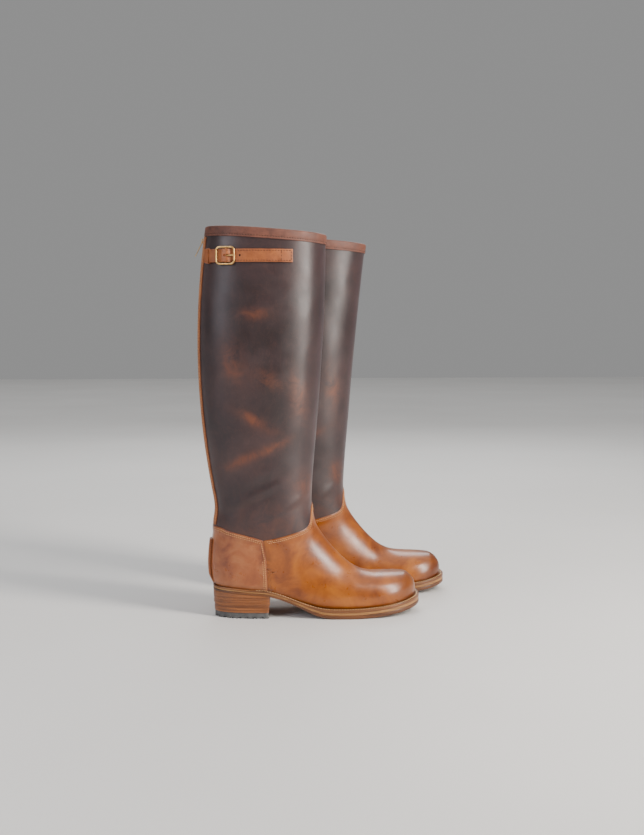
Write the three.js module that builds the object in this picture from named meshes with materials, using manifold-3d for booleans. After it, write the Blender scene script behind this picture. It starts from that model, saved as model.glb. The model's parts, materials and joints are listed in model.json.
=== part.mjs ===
// A pair of tall leather riding boots with back zips, stacked heels and buckled straps.
//
// Each boot is modelled in its own frame: +X to the toe, +Z up, x = 0 near the back of the heel,
// the outer side of the foot at -Y. The left boot is the right one mirrored and set beside it.
// The leg and foot are one smooth surface. Every leather layer lies at its own depth under or
// over that surface, and a panel is a layer cut by its seam lines.

import * as THREE from "three";
import { mergeVertices } from "three/addons/utils/BufferGeometryUtils.js";
import Module from "manifold-3d";

const wasm = await Module();
wasm.setup();

// ---- Driving dimensions, millimetres ----------------------------------------------------------

// The pair
const BOOT_SPACING = 140; // between the two centre planes
const LEFT_FORWARD = 61; // how far the left boot stands ahead
const LEFT_FLARE = 14; // how far the left shaft's soft top bulges forward
const FLARE_NARROWS = 0.35; // how much of the bulge each side gives up

// Leg
const SHAFT_HEIGHT = 523; // floor to the topline at the back
const TOPLINE_DROP = 10; // how much lower the topline is in front
const TOP_FRONT_X = 158.6;
const CALF_FRONT_X = 154.2;
const ANKLE_FRONT_X = 139;
const TOP_HALF_WIDTH = 52;
const CALF_HALF_WIDTH = 54;
const ANKLE_HALF_WIDTH = 43.6;
const ANKLE_HEIGHT = 150;
const FLARE_START = 290; // height where the left shaft's bulge begins

// The back of the leg is one arc, which the zip slider follows
const BACK_RADIUS = 1050;
const BACK_BULGE_X = -12.8; // where the arc stands out furthest
const BACK_BULGE_HEIGHT = 366;

// Foot
const TOE_TIP_X = 284.5;
const TOE_BOX_HEIGHT = 55;
const INSTEP_X = 172.5;
const INSTEP_HEIGHT = 86;
const HEEL_HALF_WIDTH = 37;
const BALL_HALF_WIDTH = 45.5;
const TOE_ROUND_PLAN = 62; // length over which the toe rounds, seen from above
const TOE_ROUND_SIDE = 18; // and seen from the side
const TOE_CORE_HEIGHT = 32; // height of the foremost point
const TOE_INSWING = 7.5; // how far the toe turns in

// Sole
const HEEL_SEAT_HEIGHT = 43.5; // top of the welt at the back
const HEEL_SEAT_SLOPE = 0.075;
const HEEL_BREAST_X = 81;
const WAIST_START_X = 70;
const BALL_START_X = 165;
const BALL_END_X = 186;
const TOE_SPRING = 11;
const SOLE_AT_BALL = 12.5; // welt, midsole and outsole together
const SOLE_AT_HEEL = 7;
const SOLE_THIN_END_X = 105;
const WELT_SHARE = 0.3; // of the sole's whole thickness
const MIDSOLE_SHARE = 0.28;
const WELT_REACH_FRONT = 6.5; // how far the welt stands out past the upper
const WELT_REACH_HEEL = 2.4;
const WELT_TUCK = 11; // how far the welt runs in under the upper
const SHANK_START = 40;
const SHANK_END = 150;
const SHANK_HALF_WIDTH = 7.5;
const SHANK_ROOM = 1.5; // left free round the shank in the cork

// Heel stack
const TOPLIFT_HEIGHT = 8;
const LIFT_HEIGHT = 10.4;
const TREAD_PITCH = 10;
const TREAD_WIDTH = 2.6;
const TREAD_DEPTH = 2.2;
const HEEL_TAPER = 0.9; // each lift's step in from the one above

// Leather and linings
const LEATHER = 2.0;
const LINING = 1.0;
const LAYER_GAP = 0.3;
const STIFFENER = 1.2;
const INSOLE = 3.0;
const SOCK_LINER = 1.5;
const TRIM_LEATHER = 1.2;

// Panels
const COUNTER_BACK_HEIGHT = 125;
const SEAM_GAP = 0.3;
const BINDING_HEIGHT = 12.5;
const LINING_SPLIT_HEIGHT = 112; // leg lining above, foot lining below
const SPUR_REST_BOTTOM = HEEL_SEAT_HEIGHT + 2.5;
const SPUR_REST_TOP = 105;
const SPUR_REST_HALF_WIDTH = 8;
const SPUR_REST_STAND_OFF = 3.2;
const TOE_PUFF_LENGTH = 60;
const STIFFENER_LENGTH = 68;
const STIFFENER_HEIGHT = 100;

// Zip
const ZIP_BOTTOM = 131;
const ZIP_SLOT_HALF = 5.5;
const FACING_HALF = 15.5;
const TAPE_HALF = 12;
const TAPE_THICKNESS = 0.8;
const TEETH_HALF = 3.2;
const TEETH_SPLIT_HALF = 0.8;
const SLIDER_HEIGHT = SHAFT_HEIGHT - 18;
const SLIDER_LENGTH = 13;
const SLIDER_HALF_WIDTH = 4.6;
const SLIDER_PLATE = 1.3;
const SLIDER_POST = 0.5; // half the post that runs between the two rows of teeth
const PULL_LENGTH = 23;
const PULL_WIDTH = 6;
const PULL_THICKNESS = 1;
const PULL_TILT = 27; // degrees out from the vertical

// Strap and buckle
const STRAP_HEIGHT = SHAFT_HEIGHT - 39.5;
const STRAP_WIDTH = 17;
const STRAP_THICKNESS = 1.8;
const STRAP_FRONT = 87; // from the buckle's centre to the stitched front end
const STRAP_TIP = 33; // from the buckle's centre back to the tip
const WALL_CLEARANCE = 0.9;
const CHAPE_LENGTH = 35;
const CHAPE_WIDTH = STRAP_WIDTH - 1;
const KEEPER_START = -29;
const KEEPER_END = -24;
const KEEPER_THICKNESS = 0.9;
const BUCKLE_X = 24.6;
const BUCKLE_LENGTH = 26.5;
const BUCKLE_BAR = 2.4;
const BUCKLE_WIDTH = STRAP_WIDTH + 2 * BUCKLE_BAR + 2.2;
const BUCKLE_TILT = 5.4; // degrees, front end down
const CENTRE_BAR_RADIUS = 0.9;
const CENTRE_BAR_RISE = 2.6;
const BUCKLE_PLANE_RISE = 4.6;
const PRONG_HALF_WIDTH = 1.2;
const PRONG_CLEARANCE = 0.4;

// ---- Fineness ---------------------------------------------------------------------------------

const COLUMNS = 16;
const BACK_STRIP_ANGLE = 0.12; // two more columns close beside the back's centre line
const SPAN = 400; // longer than any cut needs
const BEHIND = -60; // x behind the whole boot
const AHEAD_OF_LEG = 220; // x ahead of the leg
const AHEAD = TOE_TIP_X + 25; // x ahead of the toe
const PROFILE_STEP = 16; // between the points of the sole's side profile
const OUTLINE_POINTS = 16; // along each side of the sole
const TOE_ROWS = 3;

// ---- Materials --------------------------------------------------------------------------------

function finish(color, roughness, metalness = 0) {
  return new THREE.MeshStandardMaterial({ color, roughness, metalness });
}

const materials = {
  shaftLeather: finish(0x3e2620, 0.42),
  tanLeather: finish(0xa15a22, 0.38),
  counterLeather: finish(0xa4603c, 0.42),
  trimLeather: finish(0x8a5238, 0.45),
  strapLeather: finish(0xa05c2c, 0.45),
  liningLeather: finish(0xb08a5c, 0.7),
  stiffener: finish(0xc9b48c, 0.85),
  weltLeather: finish(0x8c5327, 0.5),
  soleLeather: finish(0x7d4a24, 0.55),
  heelLeather: finish(0x8a5028, 0.5),
  rubber: finish(0x4f5352, 0.75),
  cork: finish(0xb98a58, 0.9),
  steel: finish(0x9a9c9e, 0.35, 1),
  brass: finish(0xd8b070, 0.3, 1),
  zipTape: finish(0x2b2422, 0.85),
};

// ---- Small tools ------------------------------------------------------------------------------

const mix = (from, to, share) => from + (to - from) * share;

function easeBetween(value, low, high) {
  const share = THREE.MathUtils.clamp((value - low) / (high - low), 0, 1);
  return share * share * (3 - 2 * share);
}

/** A closed solid from a three.js geometry. */
function solid(geometry) {
  const bare = geometry.clone();
  bare.deleteAttribute("normal");
  bare.deleteAttribute("uv");
  const merged = mergeVertices(bare, 1e-4);
  const mesh = new wasm.Mesh({
    numProp: 3,
    vertProperties: new Float32Array(merged.attributes.position.array),
    triVerts: new Uint32Array(merged.index.array),
  });
  return new wasm.Manifold(mesh);
}

function geometryOf(body) {
  const mesh = body.getMesh();
  const geometry = new THREE.BufferGeometry();
  geometry.setAttribute("position", new THREE.BufferAttribute(mesh.vertProperties, 3));
  geometry.setIndex(new THREE.BufferAttribute(mesh.triVerts, 1));
  return geometry;
}

function shapeOf(points) {
  return new THREE.Shape(points.map(([u, v]) => new THREE.Vector2(u, v)));
}

/** A flat outline in X and Y, extruded up between two heights. */
function uprightPrism(shape, low, high) {
  const settings = { depth: high - low, bevelEnabled: false, curveSegments: 5 };
  return new THREE.ExtrudeGeometry(shape, settings).translate(0, 0, low);
}

/** A side outline in X and Z, extruded across the boot between two values of y. */
function crossPrism(points, low = -SPAN, high = SPAN) {
  const geometry = new THREE.ExtrudeGeometry(shapeOf(points), { depth: high - low, bevelEnabled: false });
  return solid(geometry.rotateX(Math.PI / 2).translate(0, high, 0));
}

function block(low, high) {
  const size = high.map((value, axis) => value - low[axis]);
  const geometry = new THREE.BoxGeometry(...size);
  return solid(geometry.translate(...low.map((value, axis) => value + size[axis] / 2)));
}

/** Value of a smooth curve through a column of numbers; it meets the first and last exactly. */
function smoothColumn(values, position) {
  const last = values.length - 1;
  const start = Math.min(Math.floor(position), last - 1);
  const part = position - start;
  const before = start > 0 ? values[start - 1] : 2 * values[0] - values[1];
  const after = start + 2 <= last ? values[start + 2] : 2 * values[last] - values[last - 1];
  const rest = 1 - part;
  return (
    (rest ** 3 * before +
      (3 * part ** 3 - 6 * part ** 2 + 4) * values[start] +
      (3 * rest ** 3 - 6 * rest ** 2 + 4) * values[start + 1] +
      part ** 3 * after) /
    6
  );
}

// ---- Leg and foot surface ---------------------------------------------------------------------

/** x of the back arc at a height. */
function backArc(height) {
  const rise = height - BACK_BULGE_HEIGHT;
  return BACK_BULGE_X + BACK_RADIUS - Math.sqrt(BACK_RADIUS ** 2 - rise ** 2);
}

const rimHeight = SHAFT_HEIGHT + 22;
const legHeight = (share) => mix(ANKLE_HEIGHT, rimHeight, share);
const footX = (share) => mix(INSTEP_X, TOE_TIP_X, share);
const footTop = (share) => mix(TOE_BOX_HEIGHT, INSTEP_HEIGHT, share);
const footHalf = (share) => mix(HEEL_HALF_WIDTH, BALL_HALF_WIDTH, share);
const aboveSeat = (rise) => HEEL_SEAT_HEIGHT + rise;
const aheadOfAnkle = (distance) => ANKLE_FRONT_X + distance;

/** A level ring of the leg: its front, half-width and height share above the ankle. */
function legStation(share, frontX, halfWidth) {
  const height = legHeight(share);
  return [frontX, height, backArc(height), height, halfWidth, 0.5, 2.2, 2.2, 0];
}

// Each station is a plane across the boot, from a front or upper point to a back or lower point:
// front x, front z, back x, back z, half-width, share of the way at which it is widest, roundness
// of its front half and of its back half (2 is an ellipse, more is squarer), centre y.
const STATIONS = [
  legStation(1, TOP_FRONT_X, TOP_HALF_WIDTH),
  legStation(0.85, TOP_FRONT_X - 0.2, TOP_HALF_WIDTH),
  legStation(0.7, mix(TOP_FRONT_X, CALF_FRONT_X, 0.35), mix(TOP_HALF_WIDTH, CALF_HALF_WIDTH, 0.7)),
  legStation(0.545, CALF_FRONT_X, CALF_HALF_WIDTH),
  legStation(0.39, mix(CALF_FRONT_X, ANKLE_FRONT_X, 0.27), mix(CALF_HALF_WIDTH, ANKLE_HALF_WIDTH, 0.18)),
  legStation(0.255, mix(CALF_FRONT_X, ANKLE_FRONT_X, 0.55), mix(CALF_HALF_WIDTH, ANKLE_HALF_WIDTH, 0.5)),
  legStation(0.14, mix(CALF_FRONT_X, ANKLE_FRONT_X, 0.82), mix(CALF_HALF_WIDTH, ANKLE_HALF_WIDTH, 0.8)),
  legStation(0.055, ANKLE_FRONT_X + 0.5, ANKLE_HALF_WIDTH + 0.6),
  [ANKLE_FRONT_X, ANKLE_HEIGHT, 8, ANKLE_HEIGHT - 2, ANKLE_HALF_WIDTH, 0.5, 2.2, 2.2, 0],
  [aheadOfAnkle(2.5), ANKLE_HEIGHT - 17, 6, aboveSeat(80), ANKLE_HALF_WIDTH - 0.8, 0.5, 2.2, 2.2, 0],
  [aheadOfAnkle(7.5), INSTEP_HEIGHT + 34.5, 2.8, aboveSeat(57), ANKLE_HALF_WIDTH - 2.6, 0.5, 2.2, 2.2, 0],
  [aheadOfAnkle(15), INSTEP_HEIGHT + 23, 0.8, aboveSeat(35), HEEL_HALF_WIDTH + 1.5, 0.5, 2.1, 2.2, 0],
  [INSTEP_X - 10, INSTEP_HEIGHT + 11.5, 1.2, aboveSeat(13.5), HEEL_HALF_WIDTH, 0.5, 2.1, 2.25, 0],
  [INSTEP_X, INSTEP_HEIGHT, 6, aboveSeat(-3.5), HEEL_HALF_WIDTH, 0.5, 2.1, 2.3, 0],
  [footX(0.095), footTop(0.645), 26, aboveSeat(-11.5), HEEL_HALF_WIDTH, 0.5, 2.1, 2.5, 0],
  [footX(0.195), footTop(0.345), 60, aboveSeat(-15.5), HEEL_HALF_WIDTH + 0.5, 0.5, 2.1, 2.6, 0],
  [footX(0.31), footTop(0.13), 100, 19, footHalf(0.25), 0.47, 2.15, 2.7, -2],
  [footX(0.43), TOE_BOX_HEIGHT + 0.8, 142, 8, footHalf(0.8), 0.4, 2.2, 3, -2],
  [footX(0.565), TOE_BOX_HEIGHT + 0.2, footX(0.07), 5, BALL_HALF_WIDTH, 0.32, 2.25, 3.4, 0.5],
  [footX(0.7), TOE_BOX_HEIGHT, footX(0.38), 7, BALL_HALF_WIDTH, 0.3, 2.3, 3.4, 2.5],
  [footX(0.85), TOE_BOX_HEIGHT - 1, footX(0.7), 10, BALL_HALF_WIDTH - 1, 0.32, 2.4, 3.4, 5],
  [TOE_TIP_X, TOE_BOX_HEIGHT - 3.5, TOE_TIP_X, 12, BALL_HALF_WIDTH - 2.5, 0.36, 2.5, 3.2, TOE_INSWING],
];
const LAST_STATION = STATIONS.length - 1;
const STATION_COLUMNS = STATIONS[0].map((_, column) => STATIONS.map((station) => station[column]));
const LEG_STATIONS = 7; // down to here the back lies exactly on the arc

function stationAt(position, flare) {
  const [frontX, frontZ, backX, backZ, half, widest, frontPower, backPower, centre] = STATION_COLUMNS.map(
    (column) => smoothColumn(column, position),
  );
  const bulge = Math.max(0, (frontZ - FLARE_START) / (SHAFT_HEIGHT - FLARE_START)) ** 2 * flare;
  const onArc = backArc(backZ);
  const leaveArc = easeBetween(position, LEG_STATIONS, LEG_STATIONS + 1.8);
  return {
    front: [frontX + bulge, frontZ],
    back: [mix(onArc, backX, leaveArc), backZ],
    half: half - bulge * FLARE_NARROWS,
    widest,
    frontPower,
    backPower,
    centre,
  };
}

/** How far a rounded end has closed in, from 1 inside it to 0 at the tip. */
function roundOff(distance, length, power) {
  const share = THREE.MathUtils.clamp(1 - distance / length, 0, 1);
  return (1 - share ** power) ** (1 / power);
}

/** Point of the leather's outer surface. Angle 0 is the front, PI the back, above PI the outer side. */
function surfacePoint(position, angle, flare) {
  const station = stationAt(position, flare);
  const forward = Math.cos(angle);
  const side = Math.sin(angle);
  const power = forward >= 0 ? station.frontPower : station.backPower;
  const along = Math.abs(forward) ** (2 / power);
  const across = Math.abs(side) ** (2 / power) * Math.sign(side);
  const share = forward >= 0 ? mix(station.widest, 1, along) : station.widest * (1 - along);
  const x = mix(station.back[0], station.front[0], share);
  const z = mix(station.back[1], station.front[1], share);
  const toTip = TOE_TIP_X - x;
  return new THREE.Vector3(
    x,
    station.centre + station.half * across * roundOff(toTip, TOE_ROUND_PLAN, 2.2),
    mix(TOE_CORE_HEIGHT, z, roundOff(toTip, TOE_ROUND_SIDE, 2)),
  );
}

function surfaceNormal(position, angle, flare) {
  const step = 0.02;
  const low = Math.max(0, position - step);
  const high = Math.min(LAST_STATION - 0.001, position + step);
  const down = surfacePoint(high, angle, flare).sub(surfacePoint(low, angle, flare));
  const around = surfacePoint(position, angle + step, flare).sub(surfacePoint(position, angle - step, flare));
  return around.cross(down).negate().normalize();
}

const COLUMN_ANGLES = [];
for (let column = 0; column < COLUMNS; column += 1) {
  const angle = (2 * Math.PI * column) / COLUMNS;
  if (column === COLUMNS / 2) COLUMN_ANGLES.push(angle - BACK_STRIP_ANGLE, angle, angle + BACK_STRIP_ANGLE);
  else COLUMN_ANGLES.push(angle);
}

const ROW_POSITIONS = [];
for (let station = 0; station <= LEG_STATIONS; station += 1) ROW_POSITIONS.push(station);
for (let row = LEG_STATIONS + 1; row < LAST_STATION - 1; row += 1.5) ROW_POSITIONS.push(row);
for (let row = 0; row < TOE_ROWS; row += 1) {
  ROW_POSITIONS.push(LAST_STATION - 1 + Math.sin((row / TOE_ROWS) * (Math.PI / 2)));
}

/** The whole boot as one closed solid, its surface moved out (or in, below 0) by an offset. */
function bootSolid(offset, flare) {
  const points = [];
  for (const position of ROW_POSITIONS) {
    for (const angle of COLUMN_ANGLES) {
      const normal = surfaceNormal(position, angle, flare);
      points.push(surfacePoint(position, angle, flare).addScaledVector(normal, offset));
    }
  }
  const around = COLUMN_ANGLES.length;
  const rows = ROW_POSITIONS.length;
  const topCentre = points.length;
  points.push(new THREE.Vector3((TOP_FRONT_X + backArc(rimHeight)) / 2, 0, rimHeight));
  const tip = points.length;
  points.push(surfacePoint(LAST_STATION, 0, flare).add(new THREE.Vector3(offset, 0, 0)));
  const triangles = [];
  for (let column = 0; column < around; column += 1) {
    const next = (column + 1) % around;
    triangles.push(topCentre, column, next);
    for (let row = 0; row < rows - 1; row += 1) {
      const here = row * around;
      const below = here + around;
      triangles.push(here + column, below + column, below + next);
      triangles.push(here + column, below + next, here + next);
    }
    const lastRow = (rows - 1) * around;
    triangles.push(lastRow + column, tip, lastRow + next);
  }
  const geometry = new THREE.BufferGeometry();
  geometry.setAttribute("position", new THREE.Float32BufferAttribute(points.flatMap((p) => p.toArray()), 3));
  geometry.setIndex(triangles);
  return solid(geometry);
}

// ---- Sole profile and outline -----------------------------------------------------------------

/** Height of the welt's top, where the upper meets it. */
function featherHeight(x) {
  const onHeel = HEEL_SEAT_HEIGHT - HEEL_SEAT_SLOPE * Math.max(x, 0);
  const spring = TOE_SPRING * (Math.max(x - BALL_END_X, 0) / (TOE_TIP_X - BALL_END_X)) ** 2;
  return mix(onHeel, SOLE_AT_BALL, easeBetween(x, WAIST_START_X, BALL_START_X)) + spring;
}

function soleThickness(x) {
  return mix(SOLE_AT_HEEL, SOLE_AT_BALL, easeBetween(x, SOLE_THIN_END_X, BALL_START_X - 5));
}

const profileXs = [BEHIND];
for (let x = -PROFILE_STEP; x < WAIST_START_X; x += 3 * PROFILE_STEP) profileXs.push(x);
for (let x = WAIST_START_X; x < BALL_START_X - PROFILE_STEP / 2; x += PROFILE_STEP) profileXs.push(x);
profileXs.push(BALL_START_X, BALL_END_X);
for (let x = BALL_END_X + 2 * PROFILE_STEP; x < TOE_TIP_X; x += 2 * PROFILE_STEP) profileXs.push(x);
profileXs.push(AHEAD);

/** A line along the sole: a share of its thickness below the welt's top, then lifted. */
function soleLine(share, lift = 0) {
  return profileXs.map((x) => [x, featherHeight(x) - share * soleThickness(x) + lift]);
}

/** The room between two lines that run from back to toe. */
function between(lowLine, highLine) {
  return crossPrism([...lowLine, ...highLine.slice().reverse()]);
}

const CEILING = [
  [AHEAD, SPAN],
  [BEHIND, SPAN],
];

/** Where the upper's outer surface meets the welt: half an outline, from the heel to the toe. */
function featherHalf(side, flare) {
  const heightOver = (position, angle) => {
    const point = surfacePoint(position, angle, flare);
    return point.z - featherHeight(point.x);
  };
  const root = (low, high, value) => {
    let [above, under] = [low, high];
    for (let turn = 0; turn < 40; turn += 1) {
      const middle = (above + under) / 2;
      if (value(middle) > 0) above = middle;
      else under = middle;
    }
    return (above + under) / 2;
  };
  const heelStart = root(LEG_STATIONS, LEG_STATIONS + 7, (position) => heightOver(position, Math.PI));
  const toeEnd = root(LAST_STATION, LAST_STATION - 1, (position) => heightOver(position, Math.PI));
  const points = [];
  const samples = 160;
  for (let sample = 0; sample <= samples; sample += 1) {
    const share = (1 - Math.cos((Math.PI * sample) / samples)) / 2;
    const position = mix(heelStart, toeEnd, share);
    const turn = root(Math.PI / 2, Math.PI, (angle) => heightOver(position, angle));
    const point = surfacePoint(position, sample % samples === 0 ? Math.PI : side * turn, flare);
    points.push(new THREE.Vector2(point.x, point.y));
  }
  return points;
}

/** The same number of points, evenly spaced along a line. */
function evenly(points, count) {
  const lengths = [0];
  for (let index = 1; index < points.length; index += 1) {
    lengths.push(lengths[index - 1] + points[index].distanceTo(points[index - 1]));
  }
  const even = [];
  for (let step = 0; step <= count; step += 1) {
    const wanted = (lengths.at(-1) * step) / count;
    const after = Math.max(1, lengths.findIndex((length) => length >= wanted - 1e-9));
    const part = (wanted - lengths[after - 1]) / (lengths[after] - lengths[after - 1]);
    even.push(points[after - 1].clone().lerp(points[after], part));
  }
  return even;
}

/** The whole feather line, counter-clockwise seen from above. */
function featherOutline(flare) {
  const outer = evenly(featherHalf(-1, flare), OUTLINE_POINTS);
  const inner = evenly(featherHalf(1, flare), OUTLINE_POINTS);
  return [...outer, ...inner.reverse().slice(1, -1)];
}

/** An outline moved out by a distance that may change along x. */
function movedOut(outline, reach) {
  return outline.map((point, index) => {
    const before = outline.at(index - 1);
    const after = outline[(index + 1) % outline.length];
    const along = after.clone().sub(before).normalize();
    const distance = reach(point.x);
    return new THREE.Vector2(point.x + along.y * distance, point.y - along.x * distance);
  });
}

function outlinePrism(outline, low = -20, high = SPAN / 2) {
  return solid(uprightPrism(new THREE.Shape(outline), low, high));
}

function weltReach(x) {
  return mix(WELT_REACH_HEEL, WELT_REACH_FRONT, easeBetween(x, HEEL_BREAST_X + 10, BALL_START_X));
}

// ---- Seam lines, seen from the side -----------------------------------------------------------

const COUNTER_CORNER = [68, 107];
const COUNTER_TOP_LINE = [
  [BEHIND, COUNTER_BACK_HEIGHT + 2],
  [8, COUNTER_BACK_HEIGHT - 0.5],
  [24, COUNTER_BACK_HEIGHT - 4.5],
  [46, COUNTER_BACK_HEIGHT - 10],
  [60, 111],
  COUNTER_CORNER,
];
const COUNTER_FRONT_LINE = [COUNTER_CORNER, [72.5, 98], [75, 79], [79, 0]];
const VAMP_TOP_LINE = [
  COUNTER_CORNER,
  [89, 110.5],
  [111, 115.5],
  [126, 120],
  [132.5, 124.5],
  [135.5, 132],
  [137, 143],
  [138.6, 151],
  [141, 156.5],
  [190, 175],
];

const shifted = (line, dx, dz) => line.map(([x, z]) => [x + dx, z + dz]);

/** Heights of the sloping topline: x and z of its two ends, lowered by a drop. */
function topLine(drop) {
  const slope = TOPLINE_DROP / (TOP_FRONT_X - backArc(SHAFT_HEIGHT));
  const heightAt = (x) => SHAFT_HEIGHT - slope * (x - backArc(SHAFT_HEIGHT)) - drop;
  return [
    [AHEAD_OF_LEG, heightAt(AHEAD_OF_LEG)],
    [BEHIND, heightAt(BEHIND)],
  ];
}

const belowTop = (drop) => crossPrism([[BEHIND, -20], [AHEAD_OF_LEG, -20], ...topLine(drop)]);

function shaftRegion() {
  const overCounter = shifted(COUNTER_TOP_LINE.slice(0, -1), 0, SEAM_GAP);
  const overVamp = shifted(VAMP_TOP_LINE, -SEAM_GAP, SEAM_GAP);
  return crossPrism([...overCounter, ...overVamp, [190, SPAN + SHAFT_HEIGHT], [BEHIND, SPAN + SHAFT_HEIGHT]]);
}

function counterRegion() {
  return crossPrism([...COUNTER_TOP_LINE, ...COUNTER_FRONT_LINE.slice(1), [BEHIND, 0]]);
}

function vampRegion() {
  const front = shifted(COUNTER_FRONT_LINE, SEAM_GAP, 0);
  return crossPrism([[AHEAD, 0], [AHEAD, 175], ...VAMP_TOP_LINE.slice(1).reverse(), ...front]);
}

// ---- Leather layers ---------------------------------------------------------------------------

/** Makes and keeps the boot's solids at each offset, so that each is worked out once. */
function layerMaker(flare) {
  const kept = new Map();
  const at = (offset) => {
    const key = offset.toFixed(3);
    if (!kept.has(key)) kept.set(key, bootSolid(offset, flare));
    return kept.get(key);
  };
  return { at, layer: (outside, inside) => at(outside).subtract(at(inside)) };
}

const BELOW_LEATHER = -LEATHER - LAYER_GAP;
const LEG_LINING_INSIDE = BELOW_LEATHER - LINING;
const BELOW_STIFFENER = BELOW_LEATHER - STIFFENER;
const FOOT_LINING_OUTSIDE = BELOW_STIFFENER - LAYER_GAP;
const FOOT_LINING_INSIDE = FOOT_LINING_OUTSIDE - LINING;
const FOOT_ROOM = FOOT_LINING_INSIDE - LAYER_GAP;

/** The strip of space behind the leg, between two distances from the centre line on one or both sides. */
function backStrip(halfWidth, low, high) {
  return block([BEHIND, -halfWidth, low], [40, halfWidth, high]);
}

function sideStrip(side, inner, outer, low, high) {
  const edges = [side * inner, side * outer].sort((a, b) => a - b);
  return block([BEHIND, edges[0], low], [40, edges[1], high]);
}

function upperParts(layers) {
  const leather = layers.layer(0, -LEATHER);
  const aboveWelt = between(soleLine(0, LAYER_GAP), CEILING.slice().reverse());
  const zipSlot = backStrip(ZIP_SLOT_HALF, ZIP_BOTTOM, rimHeight + 20);
  const liningSlot = backStrip(TAPE_HALF + LAYER_GAP, ZIP_BOTTOM - 6, rimHeight + 20);
  const legLining = layers.layer(BELOW_LEATHER, LEG_LINING_INSIDE);
  const footLining = layers.layer(FOOT_LINING_OUTSIDE, FOOT_LINING_INSIDE);
  const padding = layers.layer(BELOW_LEATHER, BELOW_STIFFENER).intersect(aboveWelt);
  const splitLow = [[BEHIND, LINING_SPLIT_HEIGHT], [AHEAD_OF_LEG, LINING_SPLIT_HEIGHT]];
  const legPart = crossPrism([...shifted(splitLow, 0, LAYER_GAP), ...topLine(LAYER_GAP)]);
  const footPart = crossPrism([[BEHIND, -20], [AHEAD, -20], [AHEAD, LINING_SPLIT_HEIGHT], splitLow[0]]);
  return {
    shaft: leather.intersect(shaftRegion()).intersect(belowTop(LAYER_GAP)).subtract(zipSlot),
    counter: leather.intersect(counterRegion()).intersect(aboveWelt),
    vamp: leather.intersect(vampRegion()).intersect(aboveWelt),
    shaft_lining: legLining.intersect(legPart).subtract(liningSlot),
    foot_lining: footLining.intersect(footPart).intersect(aboveWelt),
    heel_stiffener: padding.intersect(block([BEHIND, -SPAN, 0], [STIFFENER_LENGTH, SPAN, STIFFENER_HEIGHT])),
    toe_puff: padding.intersect(block([TOE_TIP_X - TOE_PUFF_LENGTH, -SPAN, 0], [AHEAD, SPAN, SPAN])),
  };
}

function topBinding(layers) {
  const outside = layers.layer(TRIM_LEATHER + LAYER_GAP, LEG_LINING_INSIDE - LAYER_GAP - TRIM_LEATHER);
  const room = layers.layer(LAYER_GAP, LEG_LINING_INSIDE - LAYER_GAP).intersect(belowTop(0));
  const band = crossPrism([...topLine(BINDING_HEIGHT).reverse(), ...topLine(-TRIM_LEATHER)]);
  const slot = backStrip(ZIP_SLOT_HALF, ZIP_BOTTOM, rimHeight + 20);
  return outside.intersect(band).subtract(room).subtract(slot);
}

function spurRest(layers) {
  const taper = crossPrism([
    [BEHIND, SPUR_REST_TOP],
    [BEHIND, SPUR_REST_BOTTOM + 20],
    [-1.2, SPUR_REST_BOTTOM],
    [30, SPUR_REST_BOTTOM],
    [30, SPUR_REST_TOP],
  ]);
  const strip = backStrip(SPUR_REST_HALF_WIDTH, SPUR_REST_BOTTOM, SPUR_REST_TOP);
  return layers.layer(SPUR_REST_STAND_OFF, LAYER_GAP).intersect(taper).intersect(strip);
}

function zipFacing(layers, side) {
  const strip = sideStrip(side, ZIP_SLOT_HALF + LAYER_GAP, FACING_HALF, COUNTER_BACK_HEIGHT + 3, rimHeight);
  const underBinding = belowTop(BINDING_HEIGHT + LAYER_GAP);
  return layers.layer(TRIM_LEATHER + LAYER_GAP, LAYER_GAP).intersect(strip).intersect(underBinding);
}

function zipTape(layers, side) {
  const low = ZIP_BOTTOM - 5;
  const top = belowTop(4);
  const tape = layers
    .layer(BELOW_LEATHER, BELOW_LEATHER - TAPE_THICKNESS)
    .intersect(sideStrip(side, TEETH_SPLIT_HALF, TAPE_HALF, low, rimHeight));
  const teeth = layers
    .layer(-2 * LAYER_GAP, BELOW_LEATHER - TAPE_THICKNESS)
    .intersect(sideStrip(side, TEETH_SPLIT_HALF, TEETH_HALF, ZIP_BOTTOM + LAYER_GAP, rimHeight));
  return tape.add(teeth).intersect(top);
}

// ---- Zip slider and pull, in the slider's own frame: the zip runs along Z, outside is -X --------

const SLIDER_OUTER_FACE = 0.2; // the outer plate's inside, just clear of the teeth
const SLIDER_INNER_FACE = -BELOW_LEATHER + TAPE_THICKNESS + 0.8;
const SLIDER_INNER_PLATE = 1;
const WELD = 0.1; // how far the pieces of one casting run into each other
const ARCH_OPENING = 1.8;
const ARCH_BAR = 0.9;
const ARCH_HALF_LENGTH = 2.9;
const ARCH_HALF_WIDTH = 0.8;
const PULL_BAR_RADIUS = 0.6;
const PULL_EYE = 5; // from the cross bar to the tab
const PULL_AXIS_X = SLIDER_OUTER_FACE - SLIDER_PLATE - ARCH_OPENING / 2;

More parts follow.
